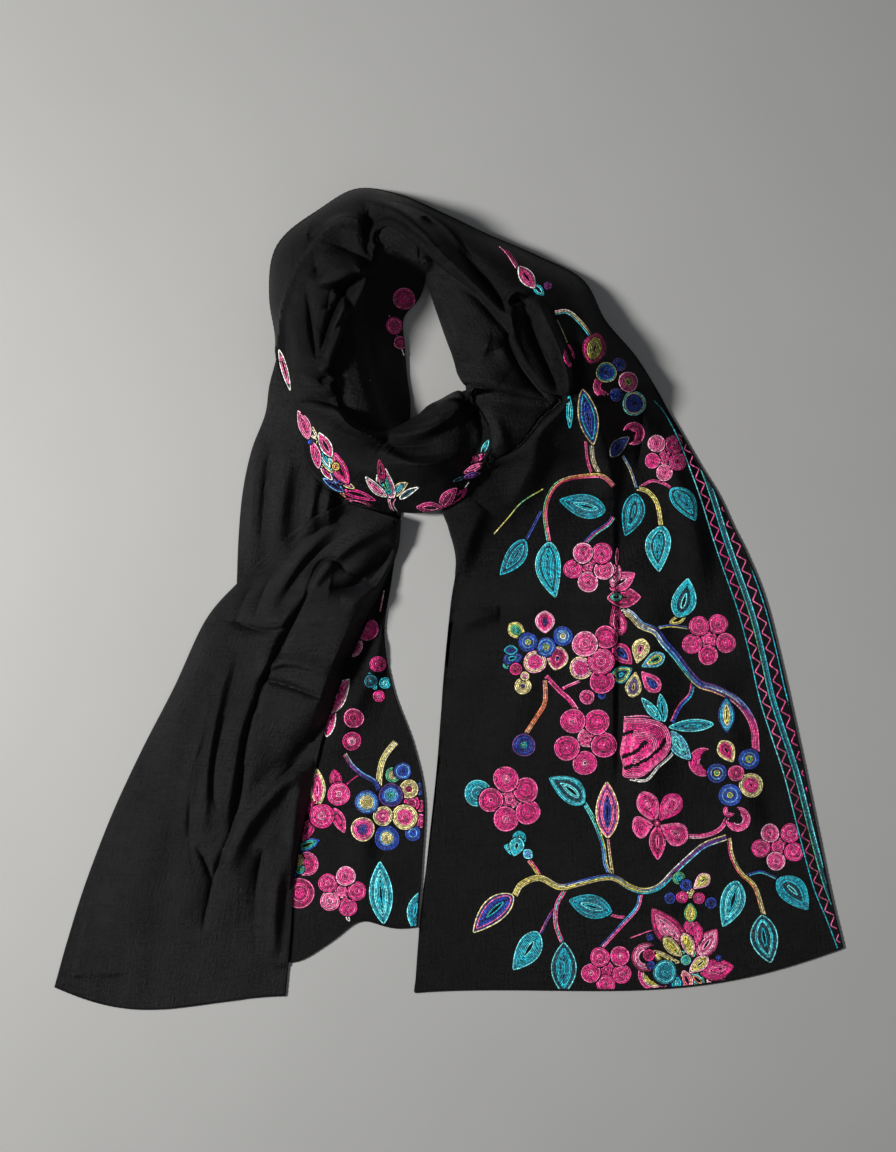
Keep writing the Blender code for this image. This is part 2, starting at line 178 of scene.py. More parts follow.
LEFT_UPPER = (
    (-43, 71, -92, 86, 12, 16, 10, 0),
    (-45, 48, -128, 68, 6, 18, 7, 0),
    (-51, 30, -166, 36, 3, 17, 4, 0),
    (-61, 6, -190, 13, 3, 15, 3, 0),
    (-76, -22, -218, -20, 2, 14, 2, 0),
    (-97, -72, -246, -80, 2, 13, 1, 0),
    (-114, -128, -275, -136, 1, 12, 1, 0),
    (-128, -192, -302, -194, 1, 10, 1, 0),
    (-139, -248, -326, -256, 0, 7, 1, 0),
    (-142, -300, -342, -306, 0, 4, 0, 6),
    (-147, -357, -354, -349, 0, 1, 0, 17),
)

# A fold is a soft ridge along an arc through three places in the photograph, or a sharp crease where its height is
# negative. Columns: the three places in pixels, then its height and its width on the left and on the right of its
# run in millimetres.
FOLDS = {
    "right_end": (
        (566, 395, 547, 418, 522, 458, 8, 9, 8),
        (541, 440, 530, 470, 512, 505, 6, 12, 9),
        (613, 468, 613, 620, 612, 792, 3.6, 3, 30),
        (484, 508, 470, 534, 460, 575, 6, 9, 26),
        (456, 624, 478, 616, 500, 614, 4, 8, 9),
        (634, 540, 652, 690, 641, 860, 4, 20, 14),
        (540, 570, 520, 680, 500, 790, 3, 22, 18),
        (650, 430, 688, 510, 700, 600, 6, 12, 16),
        (590, 410, 604, 450, 612, 500, 7, 9, 14),
        (625, 360, 640, 420, 636, 470, -4, 6, 6),
        (425, 915, 490, 890, 565, 850, -2, 12, 12),
        (700, 640, 735, 760, 770, 900, 3, 14, 12),
        (560, 880, 640, 900, 760, 870, 2, 16, 16),
    ),
    "ring_outer": (
        (366, 206, 406, 220, 446, 264, 9, 6, 9),
        (438, 252, 472, 288, 512, 328, 8, 6, 8),
        (384, 203, 440, 224, 472, 272, -9, 7, 3),
        (456, 250, 484, 284, 508, 318, -9, 7, 3),
        (376, 262, 370, 240, 370, 204, -8, 3, 3),
        (512, 304, 517, 352, 548, 402, 9, 3, 6),
        (523, 306, 538, 348, 562, 398, -8, 4, 4),
        (534, 300, 556, 346, 568, 396, 8, 4, 6),
        (556, 340, 569, 376, 560, 408, 9, 3, 7),
        (580, 300, 588, 350, 578, 396, 5, 8, 10),
        (506, 307, 513, 296, 526, 299, 8, 3, 3),
        (510, 309, 518, 303, 528, 309, -7, 2.5, 2.5),
        (324, 231, 348, 220, 370, 231, 9, 3, 9),
        (308, 236, 340, 249, 376, 266, -12, 9, 5),
        (318, 286, 346, 281, 376, 266, 14, 18, 3.5),
        (314, 238, 315, 262, 322, 282, -9, 4, 6),
        (332, 296, 345, 310, 327, 338, 11, 3, 11),
        (362, 276, 338, 308, 320, 362, -16, 5, 6),
        (306, 284, 312, 320, 318, 366, -8, 5, 8),
        (322, 374, 338, 367, 354, 374, 8, 3, 4),
        (320, 392, 338, 383, 352, 381, 7, 3, 4),
        (320, 383, 335, 376, 352, 378, -7, 2.5, 2.5),
        (284, 300, 288, 350, 296, 396, 4, 10, 14),
    ),
    "ring_front": (
        (296, 410, 330, 410, 392, 452, 12, 4, 10),
        (384, 450, 418, 465, 462, 456, 11, 4, 9),
        (298, 402, 318, 402, 342, 410, -16, 4, 4),
        (336, 398, 358, 432, 404, 431, 12, 4, 6),
        (390, 432, 430, 428, 470, 400, 11, 4, 7),
        (402, 422, 424, 413, 446, 402, -9, 4, 4),
        (436, 412, 450, 401, 466, 404, 14, 4, 9),
        (340, 426, 380, 446, 440, 444, -8, 5, 5),
        (316, 450, 362, 484, 440, 484, -4, 8, 8),
        (300, 430, 330, 480, 380, 506, 4, 12, 8),
        (470, 420, 480, 440, 470, 470, 4, 8, 8),
    ),
    "ring_inner": (
        (484, 412, 500, 436, 505, 474, 3, 6, 14),
        (425, 275, 455, 330, 505, 380, 4, 14, 14),
        (380, 228, 402, 236, 424, 252, 6, 6, 8),
        (470, 352, 500, 352, 530, 384, 4, 8, 8),
        (440, 300, 452, 330, 462, 372, 3, 10, 8),
        (380, 228, 422, 252, 454, 286, -5, 3, 5),
        (444, 276, 478, 300, 514, 342, -5, 3, 5),
        (508, 334, 518, 366, 550, 404, -5, 3, 5),
        (419, 250, 420, 260, 421, 274, -9, 2.5, 2.5),
        (486, 352, 496, 352, 508, 346, -2.5, 7, 7),
    ),
    "ring_under": (
        (318, 476, 312, 505, 310, 535, 8, 7, 6),
        (332, 487, 328, 505, 326, 525, 8, 6, 6),
        (261, 430, 255, 500, 252, 570, 5, 10, 8),
        (290, 454, 281, 505, 279, 559, 6, 9, 9),
        (345, 300, 372, 340, 380, 400, 5, 9, 9),
        (272, 440, 266, 490, 262, 540, -3, 4, 4),
    ),
    "left_lower": (
        (385, 640, 355, 700, 332, 765, 5, 12, 12),
        (381, 760, 364, 828, 359, 898, 4, 14, 14),
        (392, 610, 378, 650, 372, 690, 3, 6, 6),
    ),
    "left_upper": (
        (348, 573, 324, 560, 306, 598, -8, 3, 3),
        (314, 584, 292, 626, 274, 664, -7, 3, 3),
        (282, 648, 264, 682, 256, 714, -8, 3, 4),
        (260, 698, 246, 740, 243, 776, -7, 3, 3),
        (244, 764, 238, 802, 226, 848, -7, 3, 3),
        (230, 834, 214, 880, 203, 932, -6, 3, 3),
        (300, 596, 272, 646, 252, 710, 3, 5, 12),
        (250, 700, 236, 760, 228, 820, 4, 5, 12),
        (372, 586, 336, 655, 306, 742, 12, 7, 30),
        (396, 526, 340, 554, 290, 620, 6, 6, 7),
        (356, 530, 316, 556, 278, 608, -4, 6, 6),
        (338, 522, 300, 560, 266, 614, 4, 6, 6),
        (308, 526, 280, 560, 254, 618, -5, 6, 6),
        (270, 556, 250, 590, 234, 624, -3, 7, 7),
        (394, 544, 368, 580, 330, 587, -14, 6, 7),
        (396, 550, 374, 588, 342, 602, 6, 6, 5),
        (234, 619, 262, 630, 288, 626, -6, 3, 5),
        (260, 684, 282, 663, 330, 674, 5, 8, 3),
        (260, 679, 290, 686, 324, 699, -7, 3, 3),
        (348, 720, 300, 760, 238, 816, -13, 12, 10),
        (322, 760, 270, 794, 224, 870, 9, 9, 9),
        (302, 772, 294, 830, 290, 890, 5, 6, 7),
        (264, 848, 257, 890, 256, 955, -6, 4, 5),
        (286, 846, 276, 900, 274, 960, 4, 6, 7),
        (216, 676, 196, 760, 184, 836, 4, 5, 8),
        (234, 650, 212, 740, 204, 836, 4, 5, 7),
        (228, 714, 214, 770, 220, 814, -3, 3, 3),
        (206, 740, 190, 800, 196, 880, -2, 4, 4),
        (230, 622, 190, 700, 160, 790, 6, 16, 18),
        (150, 800, 130, 880, 118, 960, 4, 20, 20),
        (196, 846, 206, 862, 214, 888, -4, 3, 3),
    ),
}
# Each stretch's grid spacing, the radii of its folded left edge at start and end, and of its right edge, how far
# its crown leans to the right, and how far from a folded left edge its folds start.
GRIDS = {
    "left_lower": (2.4, 0, 0, 0, 0, 1.0, 0),
    "ring_under": (2.2, 0, 0, 0, 0, 1.0, 0),
    "left_upper": (1.6, 0, 0, 0, 0, 0.62, 0),
    "ring_inner": (1.3, 4, 3, 0, 0, 0.75, 0),
    "right_end": (1.9, 0, 4.5, 0, 0, 1.0, 0),
    "ring_outer": (1.2, 4.5, 3.5, 0, 0, 1.6, 9),
    "ring_front": (1.2, 3.5, 5, 0, 4, 1.0, 0),
}

# A hem that doesn't lie straight. Columns: where across the cloth from 0 to 1, how wide, how far it is pushed on.
HEM_WAVES = {"left_lower": ((0.16, 0.07, -13), (0.37, 0.09, 13))}

# The cut of what shows of each stretch, in metres. Columns: width, length, flat area, how it is held and what it
# lies on.
SHEETS = {
    "left_lower": (0.31, 0.44, 0.084, "laid", ("floor",)),
    "ring_under": (0.16, 0.38, 0.047, "folded", ("floor", "ring_core")),
    "left_upper": (0.21, 0.46, 0.078, "folded", ("left_lower",)),
    "right_end": (0.39, 0.55, 0.162, "laid", ("floor", "ring_core")),
    "ring_inner": (0.11, 0.36, 0.026, "folded", ("ring_core",)),
    "ring_outer": (0.12, 0.46, 0.049, "gathered", ("ring_core", "ring_inner", "ring_under")),
    "ring_front": (0.12, 0.27, 0.026, "gathered", ("ring_core", "left_upper")),
}
# These lie with their plain reverse up, which has more nap and is a little paler.
REVERSE_UP = ("left_upper", "ring_under", "ring_inner")
# A hem runs along one side of the cloth, 0 for the left and -1 for the right one, and along its start or end.
HEMMED = {"left_lower": (0, "end"), "left_upper": (0, "end"), "right_end": (-1, "start"), "ring_outer": (-1, "")}
HEM_RADIUS = 0.95
HEM_SIDES = 8
HEM_STEP = 1.6       # from one ring of the hem's mesh to the next
HEM_STITCH = 4.8     # from one stitch that holds the hem to the next
HEM_PINCH = 0.14     # how much thinner and thicker that makes it
HEM_CLEAR = HEM_RADIUS * 0.15        # from the floor

# The embroidery is rows of chain stitch. These sizes are in millimetres, and the motifs' own places and sizes,
# further down, are in the photograph's pixels.
PITCH = 1.45         # from one row to the next
STITCH = 2.9         # one loop of the chain
ROW_WIDE = 1.6
ROW_TALL = 0.5
SUNK = 0.12          # how deep a row's two edges lie in the nap
BARE_CELL = 0.7      # cell of the map that keeps two motifs apart
SEEN = 4.0           # a row under more cloth than this isn't sewn
INSET = 0.45         # how far a motif's first row lies inside its rim, in pitches
LOOP_WIDE = (0.74, 1, 0.94)  # how wide and how tall the row is at the three places of each loop
LOOP_TALL = (0.6, 1, 0.92)
STITCH_UNLIKE = 0.26         # how unlike each other in shade the stitches of a row are, and whole rows
ROW_UNLIKE = 0.06
SHADES = (0.45, 1.6)         # the darkest and the lightest shade, as shares of the thread's own colour
LEAF_PLACES = 121            # places along a leaf's axis, round a disc and along a crescent
DISC_PLACES = 40
HORN_PLACES = 48

# Threads, as red, green and blue from 0 to 255.
THREADS = {
    "pink": (228, 42, 136),
    "rose": (242, 108, 166),
    "blush": (247, 172, 200),
    "wine": (160, 18, 84),
    "teal": (20, 178, 198),
    "aqua": (112, 224, 230),
    "deep": (12, 128, 154),      # a deep teal
    "dusk": (4, 62, 78),         # a nearly black teal
    "blue": (30, 70, 180),
    "navy": (22, 34, 118),
    "sky": (96, 160, 218),
    "cream": (232, 220, 158),
    "yellow": (222, 210, 92),
    "white": (236, 234, 226),
    "peach": (232, 148, 110),
    "orange": (214, 104, 62),
    "violet": (104, 52, 140),
    "sand": (196, 180, 126),
    "green": (84, 176, 128),
    "grey": (120, 128, 136),
}

# Round petals. Columns: centre, radius, then the threads from the rim to the middle.
PLAIN = "pink rose pink pink rose pink"
RIM = "rose pink wine pink pink rose"
HEART = "rose pink pink pink rose blush"
PALE = "blush rose pink rose rose pink"
SUN = "blue blue sky blue yellow green"
# These two lie across the line where the right end goes over into the loop.
EDGE_DISC = (633, 404, 12.2, "aqua cream blue blue blue navy")
EDGE_SPOT = (615, 396, 6.5, "navy blue navy")
DISCS = {
    "right_end": (
        (506, 779, 12.8, HEART), (526, 790, 12.5, RIM), (528, 812, 12.5, RIM), (506, 819, 12.5, HEART),
        (491, 800, 12.2, RIM), (510, 799, 10, PALE),
        (600, 957, 9.8, PLAIN), (620, 956, 9.8, HEART), (591, 973, 9.8, HEART), (622, 974, 9.6, PLAIN),
        (606, 984, 9.4, PLAIN), (606, 969, 8, RIM),
        (770, 833, 9.4, PALE), (790, 833, 9.6, PLAIN), (761, 848, 9.4, PLAIN), (794, 852, 9.6, PLAIN),
        (776, 861, 9.6, PALE), (778, 846, 8.2, PLAIN),
        (699, 626, 10, PLAIN), (718, 624, 10, PLAIN), (692, 644, 10, PLAIN), (726, 643, 10, RIM),
        (708, 655, 10, RIM), (709, 640, 8.2, PLAIN),
        (573, 721, 12.5, HEART), (597, 722, 12.8, RIM), (567, 748, 12.8, RIM), (604, 745, 12.8, RIM),
        (585, 763, 12.2, HEART), (587, 738, 9.5, PALE),
        (585, 644, 13, PALE), (606, 637, 11.5, RIM), (601, 661, 13.5, PLAIN),
        (581, 668, 11.5, "cream blush pink pink rose"),
        (602, 681, 12.6, RIM), (602, 695, 4, "blue navy"), (587, 697, 7.5, "rose wine pink"),
        (583, 553, 10.4, PALE), (602, 553, 10.4, PLAIN), (573, 569, 9.6, PLAIN), (604, 570, 10, PALE),
        (588, 582, 10.4, PALE), (589, 566, 9.2, PALE),
        (656, 444, 8.8, PALE), (673, 445, 9.4, PLAIN), (652, 461, 7.8, RIM), (677, 462, 9, PLAIN),
        (664, 473, 8.4, PALE), (664, 458, 8.2, PLAIN),
        (528, 642, 9.6, SUN), (546, 647, 9.6, "blue sky blue sky yellow green"),
        (563, 636, 9.8, "blue blue sky white yellow"), (535, 662, 11.4, "blush cream blush pink rose pink"),
        (516, 669, 6.2, "pink wine pink"), (525, 676, 4.6, "cream blush"), (523, 686, 8.4, "cream cream sand navy"),
        (524, 745, 11.6, "violet navy blue navy teal green"),
        (749, 759, 10.4, SUN), (717, 773, 9.8, "blue navy sky navy yellow green"),
        (736, 773, 8, "rose pink wine rose"),
        (751, 785, 12.2, "cream cream sand pink rose pink"), (730, 795, 11.2, SUN),
        (682, 897, 6, "pink rose"), (670, 898, 5.6, "blue navy"), (699, 898, 6, "pink rose"),
        (711, 903, 5.8, "blue navy"),
        (686, 885, 6, "blue navy"), (679, 878, 6.4, "green teal"), (690, 893, 5, "peach cream"),
        (665, 972, 12, "deep aqua teal deep teal teal"), (686, 960, 5.2, "aqua green teal"),
        (650, 937, 4, "navy blue"),
        (651, 965, 4, "blue navy"), (719, 958, 3.2, "navy blue"), (649, 955, 6, "pink wine pink"),
        (478, 793, 13.5, "aqua teal deep aqua deep teal"),
        (657, 823, 3.4, "wine rose"), EDGE_DISC, EDGE_SPOT,
    ),
    "ring_outer": (
        (605, 374, 10.5, "cream teal blue blue navy"), (627, 383, 10, "blush pink rose yellow green"),
        EDGE_DISC, (618, 366, 7, "violet blue navy"), EDGE_SPOT, (547, 288, 4, "violet wine"),
    ),
    "ring_front": (
        (337, 467, 4, "yellow peach"), (475, 460, 3.6, "wine pink"),
    ),
    "left_lower": (
        (367, 629, 11.8, "rose pink pink pink rose"), (352, 646, 11, "blush pink wine pink"),
        (354, 718, 10, "rose wine pink wine"),
        (352, 741, 9.5, "pink wine rose blush"), (378, 664, 8, "pink wine pink"), (371, 681, 6.5, "deep dusk teal"),
        (385, 683, 6, "teal aqua"), (379, 696, 6, "pink rose"),
        (391, 795, 12, "violet navy blue sky teal green"), (367, 802, 11.8, "blue sky cream sand yellow"),
        (383, 816, 10, "cream cream rose pink blush"), (405, 817, 12.8, "cream cream rose pink rose pink"),
        (363, 829, 12, "cream rose pink violet blue"), (387, 838, 12.6, "blue blue sky cream cream yellow"),
        (409, 789, 9.6, "cream sand cream wine"), (403, 771, 8.6, "blue sky blue navy"),
        (393, 775, 7.6, "green cream sand"),
        (412, 803, 8, "pink rose wine"), (421, 806, 6, RIM), (420, 789, 6, "blue navy"),
        (413, 833, 8, "blue sky blue"),
        (420, 821, 7, RIM), (339, 794, 11.6, "pink rose rose pink blush rose"),
        (322, 816, 12.4, "pink rose pink blush rose"),
        (308, 806, 8, "wine pink wine"), (298, 860, 6, "sand yellow"), (300, 869, 5, "teal green"),
        (307, 864, 12, "rose pink wine pink"), (300, 893, 15, "rose wine pink rose wine pink pink"),
        (346, 876, 10, PALE), (328, 883, 9.6, PLAIN), (357, 891, 9.6, PLAIN),
        (330, 901, 10, "rose blush rose blush rose"),
        (348, 907, 9.4, PLAIN), (342, 890, 8.4, PALE),
    ),
    "ring_under": (
        (404, 299, 11, RIM), (394, 326, 8.5, PLAIN), (400, 343, 6.5, RIM),
    ),
}

# Leaves and long petals. Columns: base, tip, width, how far its axis bows to the left, where it is widest from 0
# to 2 with 1 for the middle, then the threads from the rim to the vein.
LEAF = "aqua teal deep aqua teal teal"
LEAF_DARK = "teal deep dusk teal deep deep"
LEAF_RING = "teal deep teal deep aqua teal"
LEAF_LIGHT = "aqua deep teal teal teal aqua"
# These lie across the same line, and the petal across the one where the loop's outer stretch becomes its front.
EDGE_LEAF = (593, 446, 581, 390, 20, 0, 1.0, "sand navy teal navy navy blue navy")
EDGE_SPRIG = (569, 431, 568, 396, 7, 0, 1.0, "teal aqua")
EDGE_PETAL = (292, 393, 280, 350, 7.5, 0, 1.1, "white blush rose")
LEAVES = {
    "right_end": (
        (584, 803, 549, 778, 25, -3, 0.8, "teal aqua teal dusk aqua aqua"),
        (608, 838, 607, 781, 24, 0, 0.9, "cream rose violet rose blue navy"),
        (513, 895, 473, 933, 25, -2, 0.8, "cream navy rose blue navy teal"),
        (538, 932, 513, 970, 25, 2, 0.8, LEAF_LIGHT),
        (564, 942, 564, 994, 26, 0, 1.0, "aqua dusk teal teal deep teal"),
        (612, 912, 569, 900, 24, 0, 0.9, LEAF_RING),
        (678, 617, 688, 578, 25, -2, 0.8, "aqua teal teal dusk aqua"),
        (727, 733, 726, 697, 17, 0, 1.0, "navy blue teal sky cream navy yellow"),
        (737, 881, 723, 927, 25, 2, 0.8, LEAF),
        (762, 915, 771, 963, 28, -2, 0.9, "aqua dusk teal aqua dusk teal"),
        (778, 879, 808, 910, 27, 3, 0.8, "teal teal deep teal dusk aqua"),
        (549, 542, 556, 598, 26, -4, 0.8, "aqua teal dusk teal teal deep"),
        (525, 540, 500, 575, 20, 2, 0.8, LEAF_DARK),
        (605, 511, 559, 500, 24, 0, 0.8, LEAF_RING),
        (636, 494, 625, 536, 23, 2, 0.8, "teal dusk deep teal dusk teal"),
        (662, 526, 659, 572, 26, -3, 0.8, "aqua teal aqua dusk teal teal"),
        (671, 489, 695, 521, 22, 3, 0.8, "teal teal dusk teal deep deep"),
        EDGE_LEAF, EDGE_SPRIG,
        (629, 437, 610, 457, 14, -2, 1.2, "grey navy blue navy"),
        (519, 838, 514, 856, 15, 0, 0.8, "aqua teal aqua"),
        (522, 851, 504, 846, 14, 0, 0.8, "teal aqua teal"), (520, 848, 519, 831, 14, 0, 1.2, "teal teal aqua"),
        (524, 850, 532, 858, 10, 0, 1.0, "aqua sky"),
        (545, 633, 545, 611, 20, 0, 1.1, "blush blush pink wine navy"),
        (555, 670, 560, 647, 22, 0, 1.1, "cream blush pink wine rose navy"),
        (526, 640, 510, 624, 16, 0, 1.3, "sand yellow green teal"), (518, 650, 504, 650, 10, 0, 1.0, "teal navy"),
        (523, 656, 504, 660, 15, 0, 1.2, "navy blue navy teal"), (511, 664, 503, 666, 8, 0, 1.0, "teal green"),
        (733, 762, 721, 741, 18, 0, 1.2, "cream sand pink wine pink"),
        (637, 664, 643, 639, 18, 0, 1.3, "cream cream sand cream rose"),
        (641, 667, 664, 655, 15, 0, 1.3, "aqua sky teal yellow green"),
        (641, 671, 659, 691, 17, 0, 1.3, "rose pink rose navy blue"),
        (636, 671, 632, 697, 17, 0, 1.3, "sand cream grey violet sand"),
        (633, 668, 613, 679, 17, 0, 1.3, "teal yellow green navy teal"),
        (632, 664, 614, 645, 18, 0, 1.2, "pink wine rose navy blue"),
        (656, 822, 642, 792, 22, 0, 1.2, "rose pink pink rose"),
        (659, 821, 679, 795, 22, 0, 1.3, "pink pink rose pink"),
        (660, 825, 687, 840, 24, 0, 1.3, "rose pink pink rose"),
        (657, 826, 658, 860, 17, 0, 0.9, "rose pink wine rose"),
        (655, 823, 633, 829, 23, 0, 1.4, "rose pink pink pink"),
        (693, 889, 709, 875, 14, 0, 1.3, "blush cream yellow cream"),
        (690, 903, 691, 922, 13, 0, 1.1, "green yellow cream"),
        (682, 956, 664, 937, 13, 1, 1.1, "sand cream yellow yellow"),
        (692, 957, 683, 933, 13, -1, 1.1, "blush cream yellow yellow"),
        (681, 962, 653, 951, 11, 3, 1.2, "sand cream yellow"),
        (689, 973, 708, 957, 14, 0, 1.2, "blush cream yellow cream"),
        (686, 962, 684, 948, 7, 0, 1.0, "aqua green"), (687, 960, 696, 950, 7, 0, 1.0, "green teal"),
        (685, 944, 652, 908, 26, 3, 0.85, "wine pink wine rose blush rose blush"),
        (696, 947, 689, 918, 22, 0, 1.0, "wine pink rose pink pink"),
        (698, 957, 717, 929, 21, 0, 0.9, "wine rose blush pink blush"),
        (700, 973, 734, 966, 22, 0, 0.95, "wine pink pink rose pink"),
        (676, 974, 677, 992, 13, 0, 1.0, "navy teal aqua"), (683, 970, 691, 990, 12, 0, 1.0, "blush peach rose"),
        (690, 973, 705, 986, 12, 0, 1.0, "green aqua peach"), (703, 980, 728, 982, 9, 0, 1.0, "blush rose blush"),
        (661, 721, 641, 697, 10, 0, 0.9, "aqua teal aqua"), (664, 722, 660, 693, 11, 0, 0.9, "aqua teal teal"),
        (668, 727, 714, 724, 13, 0, 1.1, "aqua teal deep teal"),
        (671, 731, 691, 760, 17, -2, 0.9, "aqua sky aqua aqua"),
        (616, 567, 617, 546, 4, 0, 1.0, "wine rose"), (610, 597, 622, 597, 9, 0, 1.0, "green aqua"),
        (612, 588, 617, 564, 13, 0, 1.2, "rose blush rose"), (610, 589, 635, 573, 18, 0, 0.9, "rose pink rose blush"),
        (607, 598, 641, 597, 21, 0, 1.0, "rose wine pink wine"),
        (613, 600, 621, 635, 18, 0, 1.4, "wine pink rose pink"),
        (669, 623, 686, 617, 9, 0, 1.0, "sand yellow"),
    ),
    "ring_outer": (
        (568, 370, 567, 346, 12, 0, 1.0, "pink rose wine"),
        (518, 268, 534, 291, 15, 0, 1.0, "white pink rose pink"), (532, 286, 543, 298, 9, 0, 1.0, "teal aqua"),
        (589, 365, 597, 335, 24, 0, 1.01, "wine pink wine yellow cream yellow"),
        EDGE_LEAF, EDGE_SPRIG, EDGE_PETAL,
    ),
    "ring_front": (
        (333, 458, 320, 433, 12, 0, 0.9, "white rose pink rose"),
        (310, 440, 299, 411, 13, -1, 0.9, "blush rose rose pink"),
        (320, 441, 303, 413, 9, 2, 0.9, "cream blush white"), (311, 445, 314, 429, 8, 0, 0.9, "blue sky blue"),
        (320, 469, 312, 440, 10, -1, 0.9, "blush pink rose"),
        (334, 474, 318, 441, 13, 0, 1.0, "cream aqua white teal"),
        (349, 484, 336, 453, 15, 2, 0.9, "pink rose pink wine"), (334, 481, 321, 466, 7, 0, 1.0, "white wine pink"),
        (343, 485, 330, 467, 8, 0, 0.9, "violet navy blue"), (345, 492, 323, 478, 8, 0, 0.9, "sky blue navy"),
        (348, 499, 331, 484, 4, -1, 1.0, "cream peach"), (356, 489, 338, 480, 6, 0, 0.9, "cream yellow rose"),
        (343, 491, 378, 501, 9, 1, 0.8, "rose pink wine pink"), (345, 499, 380, 511, 8, 1, 0.9, "wine pink rose"),
        (388, 497, 366, 476, 10, 2, 0.9, "white blush rose"), (384, 483, 380, 460, 8, 0, 1.0, "wine pink wine"),
        (394, 498, 383, 463, 17, 4, 0.8, "white rose sand grey teal green"),
        (396, 497, 409, 483, 10, 3, 0.9, "sand grey teal"),
        (400, 499, 421, 487, 7, 1, 0.7, "white grey dusk"),
        (443, 508, 416, 507, 12, 0, 0.9, "rose pink pink rose"),
        (441, 510, 457, 488, 13, 2, 0.9, "rose pink rose wine"),
        (448, 504, 467, 488, 9, -1, 0.9, "pink rose pink"), (463, 478, 481, 473, 6, 0, 1.0, "violet navy violet"),
        (452, 482, 466, 477, 4, 0, 1.0, "violet dusk"), (463, 474, 486, 463, 7, 0, 0.9, "rose wine rose"),
        (470, 464, 486, 454, 6, 0, 1.0, "rose pink"), (481, 455, 489, 440, 6, 0, 0.9, "aqua teal"),
        EDGE_PETAL,
    ),
    "left_lower": (
        (330, 712, 350, 679, 22, 3, 0.8, "white rose rose pink rose"),
        (327, 737, 336, 710, 13, 2, 0.9, "white pink rose"),
        (318, 806, 317, 768, 17, 0, 0.9, "cream cream rose pink rose"),
        (338, 790, 334, 769, 13, 0, 1.0, "wine pink wine"),
        (334, 808, 345, 833, 13, 0, 0.9, "rose pink wine pink"),
        (299, 841, 316, 817, 14, 0, 0.9, "pink wine pink wine"),
        (296, 849, 320, 840, 12, 0, 0.9, "blue navy teal green"), (293, 892, 294, 868, 9, 0, 1.0, "navy blue"),
        (384, 924, 380, 861, 24, 1, 0.95, LEAF), (414, 930, 421, 891, 17, 2, 1.0, "aqua teal deep teal"),
        (369, 672, 376, 690, 9, 0, 1.0, "teal aqua"), (346, 914, 350, 922, 4, 0, 1.0, "white white"),
    ),
}

# Horned shapes. Columns: centre, radius, the direction that it opens to in degrees, its opening, its depth and
# its threads from the outside in.
CRESCENTS = {
    "right_end": (
        (703, 762, 14.5, 12, 105, 10.5, "rose pink pink pink rose"),
        (738, 819, 12.5, 140, 90, 8, "rose rose pink blush"),
        (729, 811, 6, 40, 120, 4.5, "pink rose"),
        (633, 434, 11.5, 205, 80, 10, "rose pink wine pink rose pink"),
        (646, 957, 14.5, 0, 110, 8, "wine rose blush rose blush"),
        (655, 974, 17, 50, 190, 10, "rose pink blush cream yellow yellow"),
    ),
    "ring_outer": ((604, 388, 12.5, 20, 130, 8, "rose pink wine pink"),),
}

